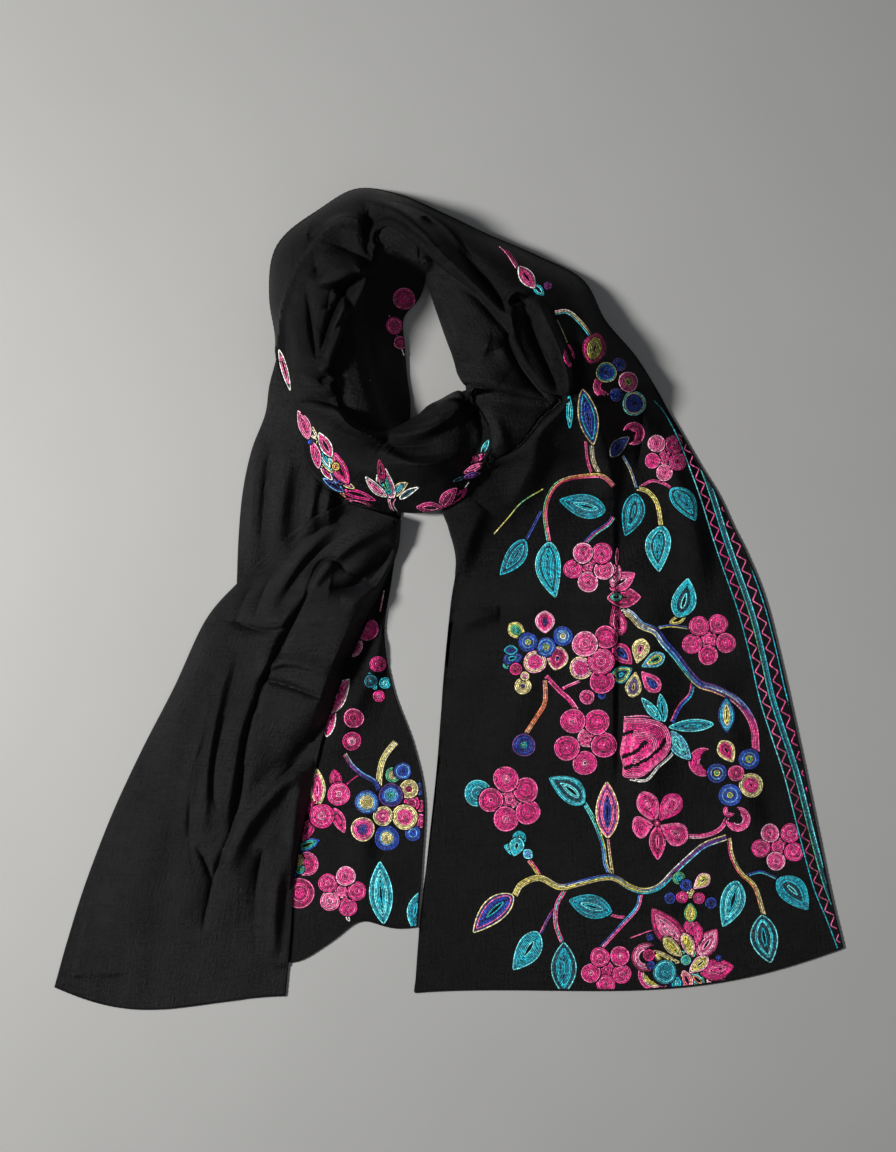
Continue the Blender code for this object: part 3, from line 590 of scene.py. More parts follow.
# Stems. Each is the places that it goes through, then one line of threads for each row, which change along it.
STEMS = {
    "right_end": (
        ((515, 895, 522, 884, 540, 878, 560, 887, 580, 883, 600, 878, 615, 878, 630, 887, 645, 891, 660, 886, 675,
          871, 690, 857, 705, 845, 727, 837),
         ("sand yellow cream blue blue navy yellow cream white white cream sand",
          "yellow sand yellow white sky sky sand sky violet violet violet violet",
          "sand yellow sand yellow yellow yellow yellow teal wine violet violet navy",
          "cream sand yellow sand sand sand teal teal teal aqua sky cream")),
        ((529, 860, 535, 868, 541, 878), ("rose pink rose", "peach yellow yellow", "rose yellow sand")),
        ((565, 890, 557, 905, 556, 924, 563, 944),
         ("rose pink rose pink", "green aqua green teal", "pink rose rose")),
        ((557, 905, 549, 917, 541, 933), ("navy violet navy", "pink violet rose")),
        ((641, 893, 637, 908, 622, 925, 601, 948),
         ("pink rose pink rose", "blush sky rose blush", "blue teal blue navy")),
        ((611, 915, 620, 917, 629, 917), ("rose pink", "pink rose")),
        ((614, 880, 606, 865, 603, 845, 595, 822, 584, 802),
         ("blue sky navy aqua teal", "sand sky teal green aqua", "cream sand yellow green aqua")),
        ((614, 880, 611, 862, 608, 838), ("sand cream sand", "cream sand rose")),
        ((683, 836, 703, 836, 720, 829, 729, 814),
         ("rose pink rose wine", "blush rose pink pink", "white rose blush")),
        ((729, 838, 732, 856, 741, 873, 755, 887, 764, 915),
         ("cream sand sand sand sand", "peach sand yellow sand cream", "wine pink orange peach sand")),
        ((745, 876, 760, 872, 772, 876, 783, 882), ("navy blue navy blue", "sky teal aqua teal")),
        ((615, 608, 630, 614, 641, 625, 655, 631, 664, 643, 675, 655, 688, 672, 700, 684, 715, 689, 733, 698, 746,
          711, 754, 728, 756, 752),
         ("white sky navy blue violet violet violet sky rose rose",
          "sand white navy navy navy navy sky violet pink wine",
          "white grey white sky sky blue white navy pink rose",
          "sand sand sky blue teal violet navy wine rose pink",
          "yellow sand cream aqua green sand peach blush pink rose")),
        ((656, 628, 672, 626, 694, 629), ("sky blue navy sky", "sand yellow sand green")),
        ((545, 680, 545, 702, 536, 718, 525, 735),
         ("peach orange orange peach", "cream peach peach cream", "rose peach orange peach")),
        ((546, 676, 559, 690, 570, 700, 579, 713),
         ("rose pink rose blush", "pink wine pink rose", "rose rose pink wine")),
        ((560, 690, 570, 685, 580, 681), ("rose blush", "pink rose")),
        ((613, 486, 603, 477, 589, 476, 565, 480, 552, 490, 545, 512, 549, 543),
         ("wine rose wine wine wine rose rose", "peach peach orange peach orange peach peach",
          "rose yellow peach green green green aqua")),
        ((541, 511, 533, 527, 526, 540), ("blue blue", "navy navy")),
        ((494, 534, 508, 518, 522, 502, 543, 489), ("sand yellow green yellow",)),
        ((585, 442, 587, 460, 592, 476), ("wine rose wine", "rose wine rose")),
        ((591, 446, 593, 461, 600, 476), ("grey sand grey", "sand white sand", "grey sand peach")),
        ((613, 517, 608, 524, 595, 533, 583, 545),
         ("green aqua green sky", "rose pink wine rose", "violet navy blue navy")),
        ((622, 456, 630, 470, 636, 488), ("sky grey sky", "grey sand grey")),
        ((636, 488, 648, 492, 657, 504, 661, 526),
         ("sand yellow sand yellow", "yellow cream yellow sand", "cream yellow sand cream")),
        ((640, 487, 652, 481, 664, 484, 672, 489), ("rose pink rose", "wine rose pink")),
        ((693, 683, 690, 695, 680, 706, 672, 722),
         ("teal teal blue blue", "navy blue navy blue", "wine rose pink rose")),
        ((686, 936, 660, 929, 630, 938), ("wine rose",)),
        ((672, 724, 677, 740, 672, 754, 658, 767, 646, 780, 630, 779), ("grey white white", "white grey white")),
        ((624, 717, 645, 716, 664, 722), ("blush rose grey",)),
    ),
    "ring_outer": (
        ((554, 315, 567, 314, 580, 325, 590, 338),
         ("blush white sand wine", "cream sand cream cream", "teal aqua teal teal")),
        ((492, 242, 505, 252, 517, 270), ("rose pink rose", "pink pink rose", "blush rose blush")),
        ((480, 235, 486, 238, 491, 242), ("rose pink", "pink wine")),
        ((467, 227, 473, 229, 478, 232), ("wine pink", "rose wine")),
        ((556, 322, 562, 335, 566, 345), ("grey sand",)),
    ),
    "ring_front": (
        ((389, 496, 391, 506, 396, 515), ("white rose white", "blush grey")),
        ((396, 499, 394, 505, 401, 515), ("rose white rose",)),
        ((463, 489, 466, 486, 469, 482), ("white grey",)),
    ),
    "left_lower": (
        ((345, 754, 352, 765, 362, 774, 374, 781, 379, 790),
         ("sand sky sky blue", "grey violet navy blue", "wine violet navy navy")),
        ((396, 742, 389, 750, 383, 760, 380, 772, 379, 786),
         ("sand cream sand", "white cream cream", "cream yellow cream", "sand cream sand")),
        ((359, 775, 352, 780, 344, 787), ("wine pink",)),
        ((388, 560, 384, 590, 380, 612), ("rose white rose",)),
    ),
    "ring_under": (((389, 316, 396, 334, 404, 356), ("white rose white",)),),
}

# The body of the hanging bud: its outline, its threads, and dark gaps left between its petals.
BUD = (624, 718, 645, 718, 664, 724, 671, 739, 668, 753, 655, 766, 641, 777, 624, 777, 623, 765, 620, 752, 623, 735)
BUD_THREADS = "rose pink pink rose pink pink"
BUD_GAPS = ((622, 735, 632, 731), (623, 757, 636, 751, 646, 741), (625, 768, 642, 762, 657, 751, 665, 740))

# The border follows this line, its innermost row. Its rows lie further out by the distance in the first column.
BORDER = (653, 401, 663, 412, 676, 435, 690, 470, 701, 501, 713, 539, 724, 571, 739, 614, 750, 656,
          760, 700, 772, 738, 785, 778, 801, 841, 814, 888, 827, 920, 838, 949)
BORDER_ROWS = (
    (0.0, "teal aqua teal teal aqua teal teal"),
    (9.2, "green teal green teal green teal"),
    (10.6, "dusk dusk dusk"),
    (12.0, "dusk deep dusk"),
    (13.4, "teal aqua teal aqua teal"),
    (24.2, "teal deep teal deep teal"),
)
BORDER_PARTS = 60    # from one place of the line to the next
BORDER_HIDDEN = 2    # the outer rows and zigzags start this many places later, where the cloth has room for them
# Zigzags. Columns: where one turns on its inner and outer side, how long its wave is, and its threads.
ZIGZAGS = ((1.7, 7.6, 14.0, "rose pink rose wine rose"), (15.6, 21.6, 14.6, "wine rose pink rose"))


def plan(spots):
    """Millimetres of the plan from pixels of the photograph, whose rows run down."""
    spots = np.asarray(spots, float)
    return np.stack([spots[..., 0] - MIDDLE[0], MIDDLE[1] - spots[..., 1]], -1) * PIXEL


def unit(v):
    """The vectors, each made one long."""
    return v / np.maximum(np.linalg.norm(v, axis=-1, keepdims=True), 1e-9)


def run_along(line):
    """Distance run from a line's first place to each of its places."""
    return np.concatenate([[0], np.cumsum(np.linalg.norm(np.diff(line, axis=0), axis=1))])


def read_off(at, marks, values):
    """Each column of the values, which are known at the marks, read off at other places."""
    return np.stack([np.interp(at, marks, column) for column in values.T], -1)


def left_of(line):
    """Unit vectors to the left of a line in plan."""
    return unit(np.gradient(line, axis=0))[:, ::-1] * (-1, 1)


def mix_corners(v, a, b, f, g):
    """Values within the square of a grid from row a and column b to the next, f along it and g across it."""
    return (v[a, b] * (1 - f) + v[a + 1, b] * f) * (1 - g) + (v[a, b + 1] * (1 - f) + v[a + 1, b + 1] * f) * g


def normals_of(grid):
    """Unit normals of a grid, from the cross product of its steps across and along."""
    return unit(np.cross(np.gradient(grid, axis=1), np.gradient(grid, axis=0)))


def through(rows, t):
    """A smooth curve through every row, at the places t counted in rows: a cubic between each two rows."""
    rows = np.array(rows, float)
    tangent = np.gradient(rows, axis=0)
    i = np.minimum(t.astype(int), len(rows) - 2)
    f = (t - i)[:, None]
    a, b, da, db = rows[i], rows[i + 1], tangent[i], tangent[i + 1]
    return a + f * da + f * f * (3 * (b - a) - 2 * da - db) + f * f * f * (2 * (a - b) + da + db)


def relief(x, y, folds):
    """Sum of the folds' heights over the plan.

    A ridge's height is h exp(-(s/w)^2) at a distance s from its arc, where w is its width on that side, and a
    crease's is h exp(-|s|/w). Both fade to nothing at their ends as a power of sin(pi t), with t along the arc.
    """
    total = np.zeros_like(x)
    t = np.linspace(0, 1, FOLD_PLACES)[:, None]
    for x0, y0, x1, y1, x2, y2, height, left, right in folds:
        start, middle, end = plan([(x0, y0), (x1, y1), (x2, y2)])
        run = start * (1 - t) * (1 - 2 * t) + middle * 4 * t * (1 - t) + end * t * (2 * t - 1)
        reach = 3 * max(left, right)
        low, high = run.min(0) - reach, run.max(0) + reach
        near = (x > low[0]) & (x < high[0]) & (y > low[1]) & (y < high[1])
        heading = unit(np.gradient(run, axis=0))
        away = np.stack([x[near][:, None] - run[:, 0], y[near][:, None] - run[:, 1]], -1)
        nearest = (away**2).sum(-1).argmin(-1)
        away = np.take_along_axis(away, nearest[:, None, None], 1)[:, 0]
        ahead = (heading[nearest] * away).sum(-1)
        side = heading[nearest, 0] * away[:, 1] - heading[nearest, 1] * away[:, 0]
        step = np.linalg.norm(np.diff(run, axis=0), axis=1).mean()
        place = np.clip(t[nearest, 0] + np.clip(ahead / step, -1, 1) / (FOLD_PLACES - 1), 0, 1)
        beyond = np.clip(np.abs(ahead) - step, 0, None)
        width = np.where(side > 0, left, right)
        across = np.abs(side) / width if height < 0 else (side / width) ** 2
        total[near] += height * np.sin(np.pi * place) ** FOLD_END * np.exp(-across - (beyond / (left + right)) ** 2)
    return total


def ripple(x, y, seed):
    """Slight unevenness of cloth that lies flat: a sum of plane waves of unlike lengths and directions."""
    draw = np.random.default_rng(seed)
    tall, short, long = UNEVEN
    total = np.zeros_like(x)
    for _ in range(WAVES):
        turn, length, phase = draw.uniform(0, np.pi), draw.uniform(short, long), draw.uniform(0, 2 * np.pi)
        total += np.sin((x * np.cos(turn) + y * np.sin(turn)) * 2 * np.pi / length + phase)
    return total * tall / np.sqrt(WAVES)


def finer(grid, times):
    """The grid with each square cut into times by times, every place a mix of the square's four corners."""
    for _ in range(2):
        i = np.linspace(0, len(grid) - 1, (len(grid) - 1) * times + 1)
        a = np.minimum(i.astype(int), len(grid) - 2)
        f = (i - a).reshape(-1, 1, 1)
        grid = (grid[a] * (1 - f) + grid[a + 1] * f).swapaxes(0, 1)
    return grid


def smoothed(z):
    """Each height as a mix of itself, by half, and the four beside it."""
    wide = np.pad(z, 1, mode="edge")
    return (4 * z + wide[:-2, 1:-1] + wide[2:, 1:-1] + wide[1:-1, :-2] + wide[1:-1, 2:]) / 8


def evened(v, reach=4):
    """Each row's value as a weighted mean of the rows round it, with cos^2 weights."""
    weights = np.cos(np.arange(-reach, reach + 1) * np.pi / (2 * reach + 2)) ** 2
    wide = np.pad(v, ((reach, reach),) + ((0, 0),) * (v.ndim - 1), mode="edge")
    return sum(w * wide[k:k + len(v)] for k, w in enumerate(weights)) / weights.sum()


def lifted(z, under, soften, times):
    """A sheet's middle raised clear of what lies under it; the lift spreads softly to its neighbours."""
    lack = np.where(under > 0, under + AIR, 0) + WALL / 2 - z
    lift = np.clip(lack, 0, None)
    for _ in range(times):
        lift = np.maximum(soften(lift), lack)
    return z + lift


class Pile:
    """Height map of all that lies on the floor so far."""

    def __init__(self, other=None):
        size = (int(2 * REACH[0] / CELL) + 1, int(2 * REACH[1] / CELL) + 1)
        self.height = np.zeros(size) if other is None else other.height.copy()

    def cell(self, x, y):
        """Row and column of the map, with fractions. The last ones keep a neighbour."""
        return (np.clip((v + reach) / CELL, 0, most - 1.001)
                for v, reach, most in zip((x, y), REACH, self.height.shape))

    def at(self, x, y):
        """Height over a place in plan."""
        i, j = self.cell(x, y)
        a, b = i.astype(int), j.astype(int)
        return mix_corners(self.height, a, b, i - a, j - b)

    def add(self, spots):
        """Raises the map to these places, each one cell further out than it lies."""
        i, j = self.cell(spots[:, 0], spots[:, 1])
        top = np.zeros_like(self.height)
        np.maximum.at(top, (np.round(i).astype(int), np.round(j).astype(int)), spots[:, 2])
        for axis in (0, 1):
            top = np.maximum(top, np.maximum(np.roll(top, 1, axis), np.roll(top, -1, axis)))
        self.height = np.maximum(self.height, top)

    def lay(self, x, y, z, below, share):
        """Heights of a sheet's middle once it rests.

        share is how far it rests on the pile below in place of this one, so that it goes under what lies between.
        """
        under = self.at(x, y)
        if below is not None:
            covered = (share > 0.5) & (under > below.at(x, y) + 1)
            ceiling = np.where(covered, under - 2 * WALL - AIR, np.inf)
            z = np.minimum(z, ceiling)
            under = np.minimum(under * (1 - share) + below.at(x, y) * share, ceiling - AIR - WALL / 2)
        return lifted(z, under, smoothed, SPREADS)


def node_spots(node, parts=8):
    """Many places spread over the triangles of a CAD node, in millimetres."""
    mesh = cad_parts[node].data
    mesh.calc_loop_triangles()
    points = np.empty(len(mesh.vertices) * 3, np.float32)
    mesh.vertices.foreach_get("co", points)
    corners = np.empty(len(mesh.loop_triangles) * 3, np.int32)
    mesh.loop_triangles.foreach_get("vertices", corners)
    a, b = np.meshgrid(np.arange(parts + 1), np.arange(parts + 1))
    a, b = a[a + b <= parts] / parts, b[a + b <= parts] / parts
    triangles = points.reshape(-1, 3)[corners.reshape(-1, 3)] / MM
    return np.einsum("sc,fcd->fsd", np.stack([1 - a - b, a, b], 1), triangles).reshape(-1, 3)


class Stretch:
    """One stretch of the cloth as a grid on its middle surface: rows along its run, columns from left to right."""

    def __init__(self, name, pile, rows, start=0, end=-1, before=None, below=None, tuck=None):
        """Lays the sections from start to end on the pile.

        The height is left (1-u) + right u + crown (4v(1-v))^0.7 + relief + ripple, with u from 0 to 1 across and
        v = u^lean. A section lies ahead of a straight line by bow sin(pi u^1.5). before is the stretch that this
        one goes on from at the same height. With a pile below, this one goes under what lies on that: from the
        first x of the tuck to its second, or all of it without a tuck.
        """
        spacing, *radii, lean, calm = GRIDS[name]
        rows = np.array(rows, float)
        end %= len(rows)
        edges = rows[:, :4].reshape(-1, 2, 2)
        marks = run_along(np.column_stack([edges.mean(1), rows[:, 5]]))
        length = marks[end] - marks[start]
        along = 2 * int(length / spacing / 2) + 1
        run = np.linspace(marks[start], marks[end], along)
        widest = np.linalg.norm(edges[start:end + 1, 1] - edges[start:end + 1, 0], axis=1).max()
        across = 2 * int(widest / spacing / 2) + 1
        t = np.interp(run, marks, np.arange(len(rows)))
        left_x, left_y, right_x, right_y, left, middle, right, bow = through(rows, t).T[..., None]
        width = np.hypot(right_x - left_x, right_y - left_y)
        gone = np.linspace(0, 1, along)[:, None]
        trims = [radii[k] * (1 - gone) + radii[k + 1] * gone for k in (0, 2)]
        u = (trims[0] + (width - trims[0] - trims[1]) * np.linspace(0, 1, across)) / width
        x, y = left_x * (1 - u) + right_x * u, left_y * (1 - u) + right_y * u
        swell = bow * np.sin(np.pi * u**1.5) / width
        for place, wide, push in HEM_WAVES.get(name, ()):
            last_quarter = np.clip(4 * gone - 3, 0, 1)
            swell = swell + push / width * np.exp(-((u - place) / wide) ** 2) * last_quarter ** 2
        x, y = x + (left_y - right_y) * swell, y + (right_x - left_x) * swell
        crown = np.clip(4 * u**lean * (1 - u**lean), 0, 1) ** CROWN
        z = left * (1 - u) + right * u + (middle - (left + right) / 2) * crown
        loose = np.clip((u * width - 1) / max(calm, 0.1), 0, 1)
        z = np.clip(z + relief(x, y, FOLDS[name]) * loose + ripple(x, y, len(name)), WALL / 2, None)
        near = np.clip(1 - np.arange(along)[:, None] / FOLLOWED, 0, 1) ** 2
        share = np.full_like(x, float(below is not None))
        if tuck is not None:
            share = np.clip((x - tuck[0]) / (tuck[1] - tuck[0]), 0, 1)
        if before is not None:
            was = np.interp(u[0], before.u[-1], before.grid[-1, :, 2])
            z += (was - z[0]) * near
        z = pile.lay(x, y, z, below, share)
        if before is not None:
            z += (was - z[0]) * near
        run_before = before.run_after if before else 0.0
        self.run_after = run_before + length
        self.u = u
        self.grid = np.stack([x, y, z], -1)
        self.uv = np.stack([(u - 0.5) * width, np.broadcast_to(run[:, None] + run_before, u.shape)], -1)
        self.normal = normals_of(self.grid)
        self.whole, self.whole_uv = self.rolled(pile, below, share, trims)
        self.whole_normal = normals_of(self.whole)

    def rolled(self, pile, below, share, trims):
        """The grid with its folded edges: from the edge each goes on as an arc of its radius that curls under."""
        grid, uv = self.grid, self.uv
        turn = np.radians(np.linspace(0, ROLL_TURN, ROLL_STEPS)[1:, None])
        self.curls_left = trims[0].max() > 0
        for edge, inner, radius in ((0, 1, trims[0]), (-1, -2, trims[1])):
            if radius.max() == 0:
                continue
            out = unit(evened(unit(self.grid[:, edge] - self.grid[:, inner])))
            down = evened(self.normal[:, edge] * np.where(self.normal[:, edge, 2:] > 0, -1, 1))
            down = unit(down - out * (out * down).sum(-1, keepdims=True))
            arc = radius[..., None] * (np.sin(turn) * out[:, None] + (1 - np.cos(turn)) * down[:, None])
            arc += self.grid[:, edge][:, None]
            under = pile.at(arc[..., 0], arc[..., 1])
            if below is not None:
                deep = share[:, edge, None]
                under = under * (1 - deep) + below.at(arc[..., 0], arc[..., 1]) * deep
            arc[..., 2] = lifted(arc[..., 2], under, evened, ROLL_SPREADS)
            more = np.repeat(self.uv[:, edge][:, None], ROLL_STEPS - 1, 1)
            more[..., 0] += (radius * turn[:, 0]) * (1 if edge else -1)
            grid = np.concatenate([grid, arc] if edge else [arc[:, ::-1], grid], 1)
            uv = np.concatenate([uv, more] if edge else [more[:, ::-1], uv], 1)
        return grid, uv

    def top_spots(self, rows=None):
        """Close-set places on the outer face, for the height map."""
        return finer(self.whole[:rows] + (0, 0, WALL / 2), 3).reshape(-1, 3)

    def join(self, after):
        """Makes the last row here and the first row of the stretch after it one line with one set of normals."""
        here = unit(self.normal[-1] + read_off(self.u[-1], after.u[0], after.normal[0]))
        there = read_off(after.u[0], self.u[-1], here)
        for stretch, row, line in ((self, -1, here), (after, 0, there)):
            first = stretch.whole.shape[1] - stretch.grid.shape[1] if stretch.curls_left else 0
            stretch.normal[row] = line
            stretch.whole_normal[row, first:first + len(line)] = line

    def find(self, spots):
        """Place in the grid, as row and column, over each plan point, and whether the stretch is there at all.

        Newton's method on the bilinear squares of the grid, started from the grid point that a coarse table of
        cells gives. A step goes 6 squares at most, and a point counts as found within 0.2 mm.
        """
        net = self.grid[..., :2]
        rows, columns = net.shape[:2]
        side, margin = 3.0, 6
        low = net.reshape(-1, 2).min(0) - margin * side
        size = ((net.reshape(-1, 2).max(0) - low) / side).astype(int) + margin + 1
        table = np.full(size, -1)
        i, j = ((net.reshape(-1, 2) - low) / side).astype(int).T
        table[i, j] = np.arange(rows * columns)
        for _ in range(3):
            for axis, way in ((0, 1), (0, -1), (1, 1), (1, -1)):
                table = np.where(table < 0, np.roll(table, way, axis), table)
        i, j = np.clip((spots - low) / side, 0, size - 1).astype(int).T
        start = table[i, j]
        p, q = (np.array(v, float) for v in divmod(np.maximum(start, 0), columns))
        for _ in range(14):
            a, b = np.clip(p.astype(int), 0, rows - 2), np.clip(q.astype(int), 0, columns - 2)
            f, g = (p - a)[:, None], (q - b)[:, None]
            along = (net[a + 1, b] - net[a, b]) * (1 - g) + (net[a + 1, b + 1] - net[a, b + 1]) * g
            across = (net[a, b + 1] - net[a, b]) * (1 - f) + (net[a + 1, b + 1] - net[a + 1, b]) * f
            miss = spots - mix_corners(net, a, b, f, g)
            area = along[:, 0] * across[:, 1] - along[:, 1] * across[:, 0]
            area = np.where(np.abs(area) < 1e-6, 1e-6, area)
            p = p + np.clip((miss[:, 0] * across[:, 1] - miss[:, 1] * across[:, 0]) / area, -6, 6)
            q = q + np.clip((along[:, 0] * miss[:, 1] - along[:, 1] * miss[:, 0]) / area, -6, 6)
            p, q = np.clip(p, 0, rows - 1), np.clip(q, 0, columns - 1)
        return p, q, (start >= 0) & (np.linalg.norm(miss, axis=1) < 0.2)

    def on_top(self, p, q):
        """Place and normal of the outer face at rows p and columns q of the grid."""
        rows, columns = self.grid.shape[:2]
        a, b = np.clip(p.astype(int), 0, rows - 2), np.clip(q.astype(int), 0, columns - 2)
        f, g = (p - a)[:, None], (q - b)[:, None]
        normal = unit(mix_corners(self.normal, a, b, f, g))
        return mix_corners(self.grid, a, b, f, g) + normal * WALL / 2, normal


def new_object(name, points, faces, material, uv=None, colour=None):
    """A smooth mesh piece from points in millimetres, riding on the part's one body."""
    mesh = bpy.data.meshes.new(name)
    mesh.from_pydata((points * MM).tolist(), [], faces)
    mesh.shade_smooth()
    mesh.materials.append(material)
    if uv is not None:
        corner = np.empty(len(mesh.loops), np.int32)
        mesh.loops.foreach_get("vertex_index", corner)
        mesh.uv_layers.new(name="cloth").data.foreach_set("uv", uv[corner].astype(np.float32).ravel())
    if colour is not None:
        layer = mesh.color_attributes.new("thread", "FLOAT_COLOR", "POINT")
        opaque = np.column_stack([colour, np.ones(len(colour))])
        layer.data.foreach_set("color", opaque.astype(np.float32).ravel())
    made = bpy.data.objects.new(name, mesh)
    bpy.context.scene.collection.objects.link(made)
    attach(made, "root")
    return made


def shell(name, grid, normal, uv, material):
    """A closed thin wall round the grid: its outer face is the grid moved out by half the wall.

    The inner face takes every second row and column, and the rims join the two.
    """
    top = grid + normal * WALL / 2
    low = (grid - normal * WALL / 2)[::2, ::2]
    rows, columns = top.shape[:2]
    t = np.arange(rows * columns).reshape(rows, columns)
    b = np.arange(low.shape[0] * low.shape[1]).reshape(low.shape[:2]) + rows * columns
    outer = np.stack([t[:-1, :-1], t[:-1, 1:], t[1:, 1:], t[1:, :-1]], -1).reshape(-1, 4)
    inner = np.stack([b[:-1, :-1], b[1:, :-1], b[1:, 1:], b[:-1, 1:]], -1).reshape(-1, 4)
    rims = []
    for line, under in ((t[:, 0], b[:, 0]), (t[-1], b[-1]), (t[::-1, -1], b[::-1, -1]), (t[0, ::-1], b[0, ::-1])):
        rims.append(np.stack([line[:-1:2], line[1::2], line[2::2], under[1:], under[:-1]], -1))
    faces = outer.tolist() + inner.tolist() + np.concatenate(rims).tolist()
    points = np.concatenate([top.reshape(-1, 3), low.reshape(-1, 3)])
    spread = np.concatenate([uv.reshape(-1, 2), uv[::2, ::2].reshape(-1, 2)])
    made = new_object(name, points, faces, material, spread)
    ways = unit(np.concatenate([normal.reshape(-1, 3), -normal[::2, ::2].reshape(-1, 3)]) * (SHADE, SHADE, 1))
    made.data.normals_split_custom_set_from_vertices(ways.tolist())
    return made


def hem(name, line, material):
    """A rolled hem: a circle carried along the edge, pinched where a stitch holds it.

    Its radius is r (1 + p sin a), where p is HEM_PINCH and a makes one turn from each such stitch to the next.
    """
    steps = run_along(line)
    count = int(steps[-1] / HEM_STEP) + 1
    at = np.linspace(0, steps[-1], count)
    line = read_off(at, steps, line)
    line[:, 2] = np.maximum(line[:, 2], HEM_RADIUS + HEM_CLEAR)
    heading = unit(np.gradient(line, axis=0))
    side = unit(np.cross(heading, (0, 0, 1.0)))
    up = np.cross(side, heading)
    turn = np.linspace(0, 2 * np.pi, HEM_SIDES, endpoint=False)[None, :, None]
    size = HEM_RADIUS * (1 + HEM_PINCH * np.sin(at * 2 * np.pi / HEM_STITCH))[:, None, None]
    ring = line[:, None] + size * (np.cos(turn) * side[:, None] + np.sin(turn) * up[:, None])
    t = np.arange(count * HEM_SIDES).reshape(count, HEM_SIDES)
    after = np.roll(t, -1, 1)
    faces = np.stack([t[:-1], after[:-1], after[1:], t[1:]], -1).reshape(-1, 4).tolist()
    faces += [t[0, ::-1].tolist(), t[-1].tolist()]
    uv = np.stack([np.broadcast_to(turn[..., 0], t.shape), np.broadcast_to(at[:, None], t.shape)], -1)
    return new_object(name, ring.reshape(-1, 3), faces, material, uv.reshape(-1, 2))


def lit(colour):
    """Screen colour to the linear light that materials use: ((c + 0.055) / 1.055)^2.4, without its straight foot."""
    return ((np.array(colour) / 255 + 0.055) / 1.055) ** 2.4


def tints(names):
    """Linear colours of a line of threads."""
    return np.array([lit(THREADS[name]) for name in names.split()])


def fitting(room, spare):
    """How many rows, PITCH apart, fit in the room. The last one may lack this share of a pitch."""
    return max(int(room / PITCH + spare), 1)


def thread_rows(names, count):
    """Linear colours of count rows, from a line of threads spread evenly over them."""
    colours = tints(names)
    places = (np.arange(count) + 0.5) / count * len(colours)
    return colours[np.minimum(places.astype(int), len(colours) - 1)]


def smooth_line(spots, count=24):
    """A smooth curve through pixel places given as one flat row, in millimetres of the plan."""
    places = plan(np.reshape(spots, (-1, 2)))
    return through(places, np.linspace(0, len(places) - 1, (len(places) - 1) * count + 1))


def round_line(middle, size, turn):
    """Places round a middle, at the angles turn and as far out as size says."""
    return middle + np.reshape(size, (-1, 1)) * np.stack([np.cos(turn), np.sin(turn)], -1)


def disc(x, y, radius, names):
    """Closed rings from the rim to the middle, PITCH apart: r (1 + 0.02 sin(2a + p) + 0.02 sin(3a + q))."""
    middle, radius = plan((x, y)), radius * PIXEL
    rows = []
    for k, tint in enumerate(thread_rows(names, fitting(radius, 0.35))):
        turn = np.linspace(0, 2 * np.pi, DISC_PLACES) + 2.4 * k
        size = max(radius - (k + INSET) * PITCH, 0.35)
        size = size * (1 + 0.02 * np.sin(2 * turn + x) + 0.02 * np.sin(3 * turn + y))
        rows.append((round_line(middle, size, turn), tint))
    return rows


def leaf(x0, y0, x1, y1, width, bow, fullest, names):
    """Closed rows that follow a leaf's edge, each PITCH further in, and a vein where room is left.

    Half the width at t, from 0 at the base to 1 at the tip, is w/2 sin(pi t^p)^b, with p from where it is widest
    and b for how blunt its ends are. A row k lies where that width is k times PITCH less.
    """
    base, tip = plan([(x0, y0), (x1, y1)])
    width, bow = width * PIXEL, bow * PIXEL
    length = np.linalg.norm(tip - base)
    ahead = (tip - base) / length
    side = np.array((-ahead[1], ahead[0]))
    t = np.linspace(0, 1, LEAF_PLACES)
    power = np.log(0.5) / np.log(np.clip(0.5 * fullest, 0.2, 0.8))
    blunt = 0.8 if fullest <= 1.0 else 0.6
    half = width / 2 * np.sin(np.pi * t**power) ** blunt
    axis = base + ahead * (t * length)[:, None] + side * (bow * 4 * t * (1 - t))[:, None]
    rows = []
    for k, tint in enumerate(thread_rows(names, fitting(width / 2, 0.2))):
        inside = half - (k + INSET) * PITCH
        kept = np.flatnonzero((inside > 0) & (t * length > k * PITCH) & ((1 - t) * length > k * PITCH * 1.1))
        if len(kept) < 3:
            continue
        line, out = axis[kept], side * inside[kept, None]
        rows.append((np.concatenate([line + out, (line - out)[::-1], (line + out)[:1]]), tint))
    return rows


def crescent(x, y, radius, faces, opening, depth, names):
    """Arcs round one centre, PITCH apart, each shorter at both horns than the one outside it."""
    middle, radius = plan((x, y)), radius * PIXEL
    rows = []
    for k, tint in enumerate(thread_rows(names, fitting(depth * PIXEL, 0.5))):
        half = np.radians(180 - opening / 2) - 0.16 * k
        turn = np.radians(faces + 180) + np.linspace(-half, half, HORN_PLACES)
        rows.append((round_line(middle, radius - (k + INSET) * PITCH, turn), tint))
    return rows


def stem(spots, strands):
    """Rows side by side along a smooth curve, the first on its left, each with its threads changing along it."""
    line = smooth_line(spots)
    first = (len(strands) - 1) / 2
    return [(line + left_of(line) * ((first - k) * PITCH), tints(names)) for k, names in enumerate(strands)]


def patch(spots, names):
    """Closed rows that follow any round outline, each drawn in towards its middle by PITCH of its mean radius."""
    outline = smooth_line(spots + spots[:2], 12)
    middle = outline.mean(0)
    size = np.linalg.norm(outline - middle, axis=1).mean()
    return [(middle + (outline - middle) * (1 - (k + INSET) * PITCH / size), tint)
            for k, tint in enumerate(thread_rows(names, fitting(size, 0)))]


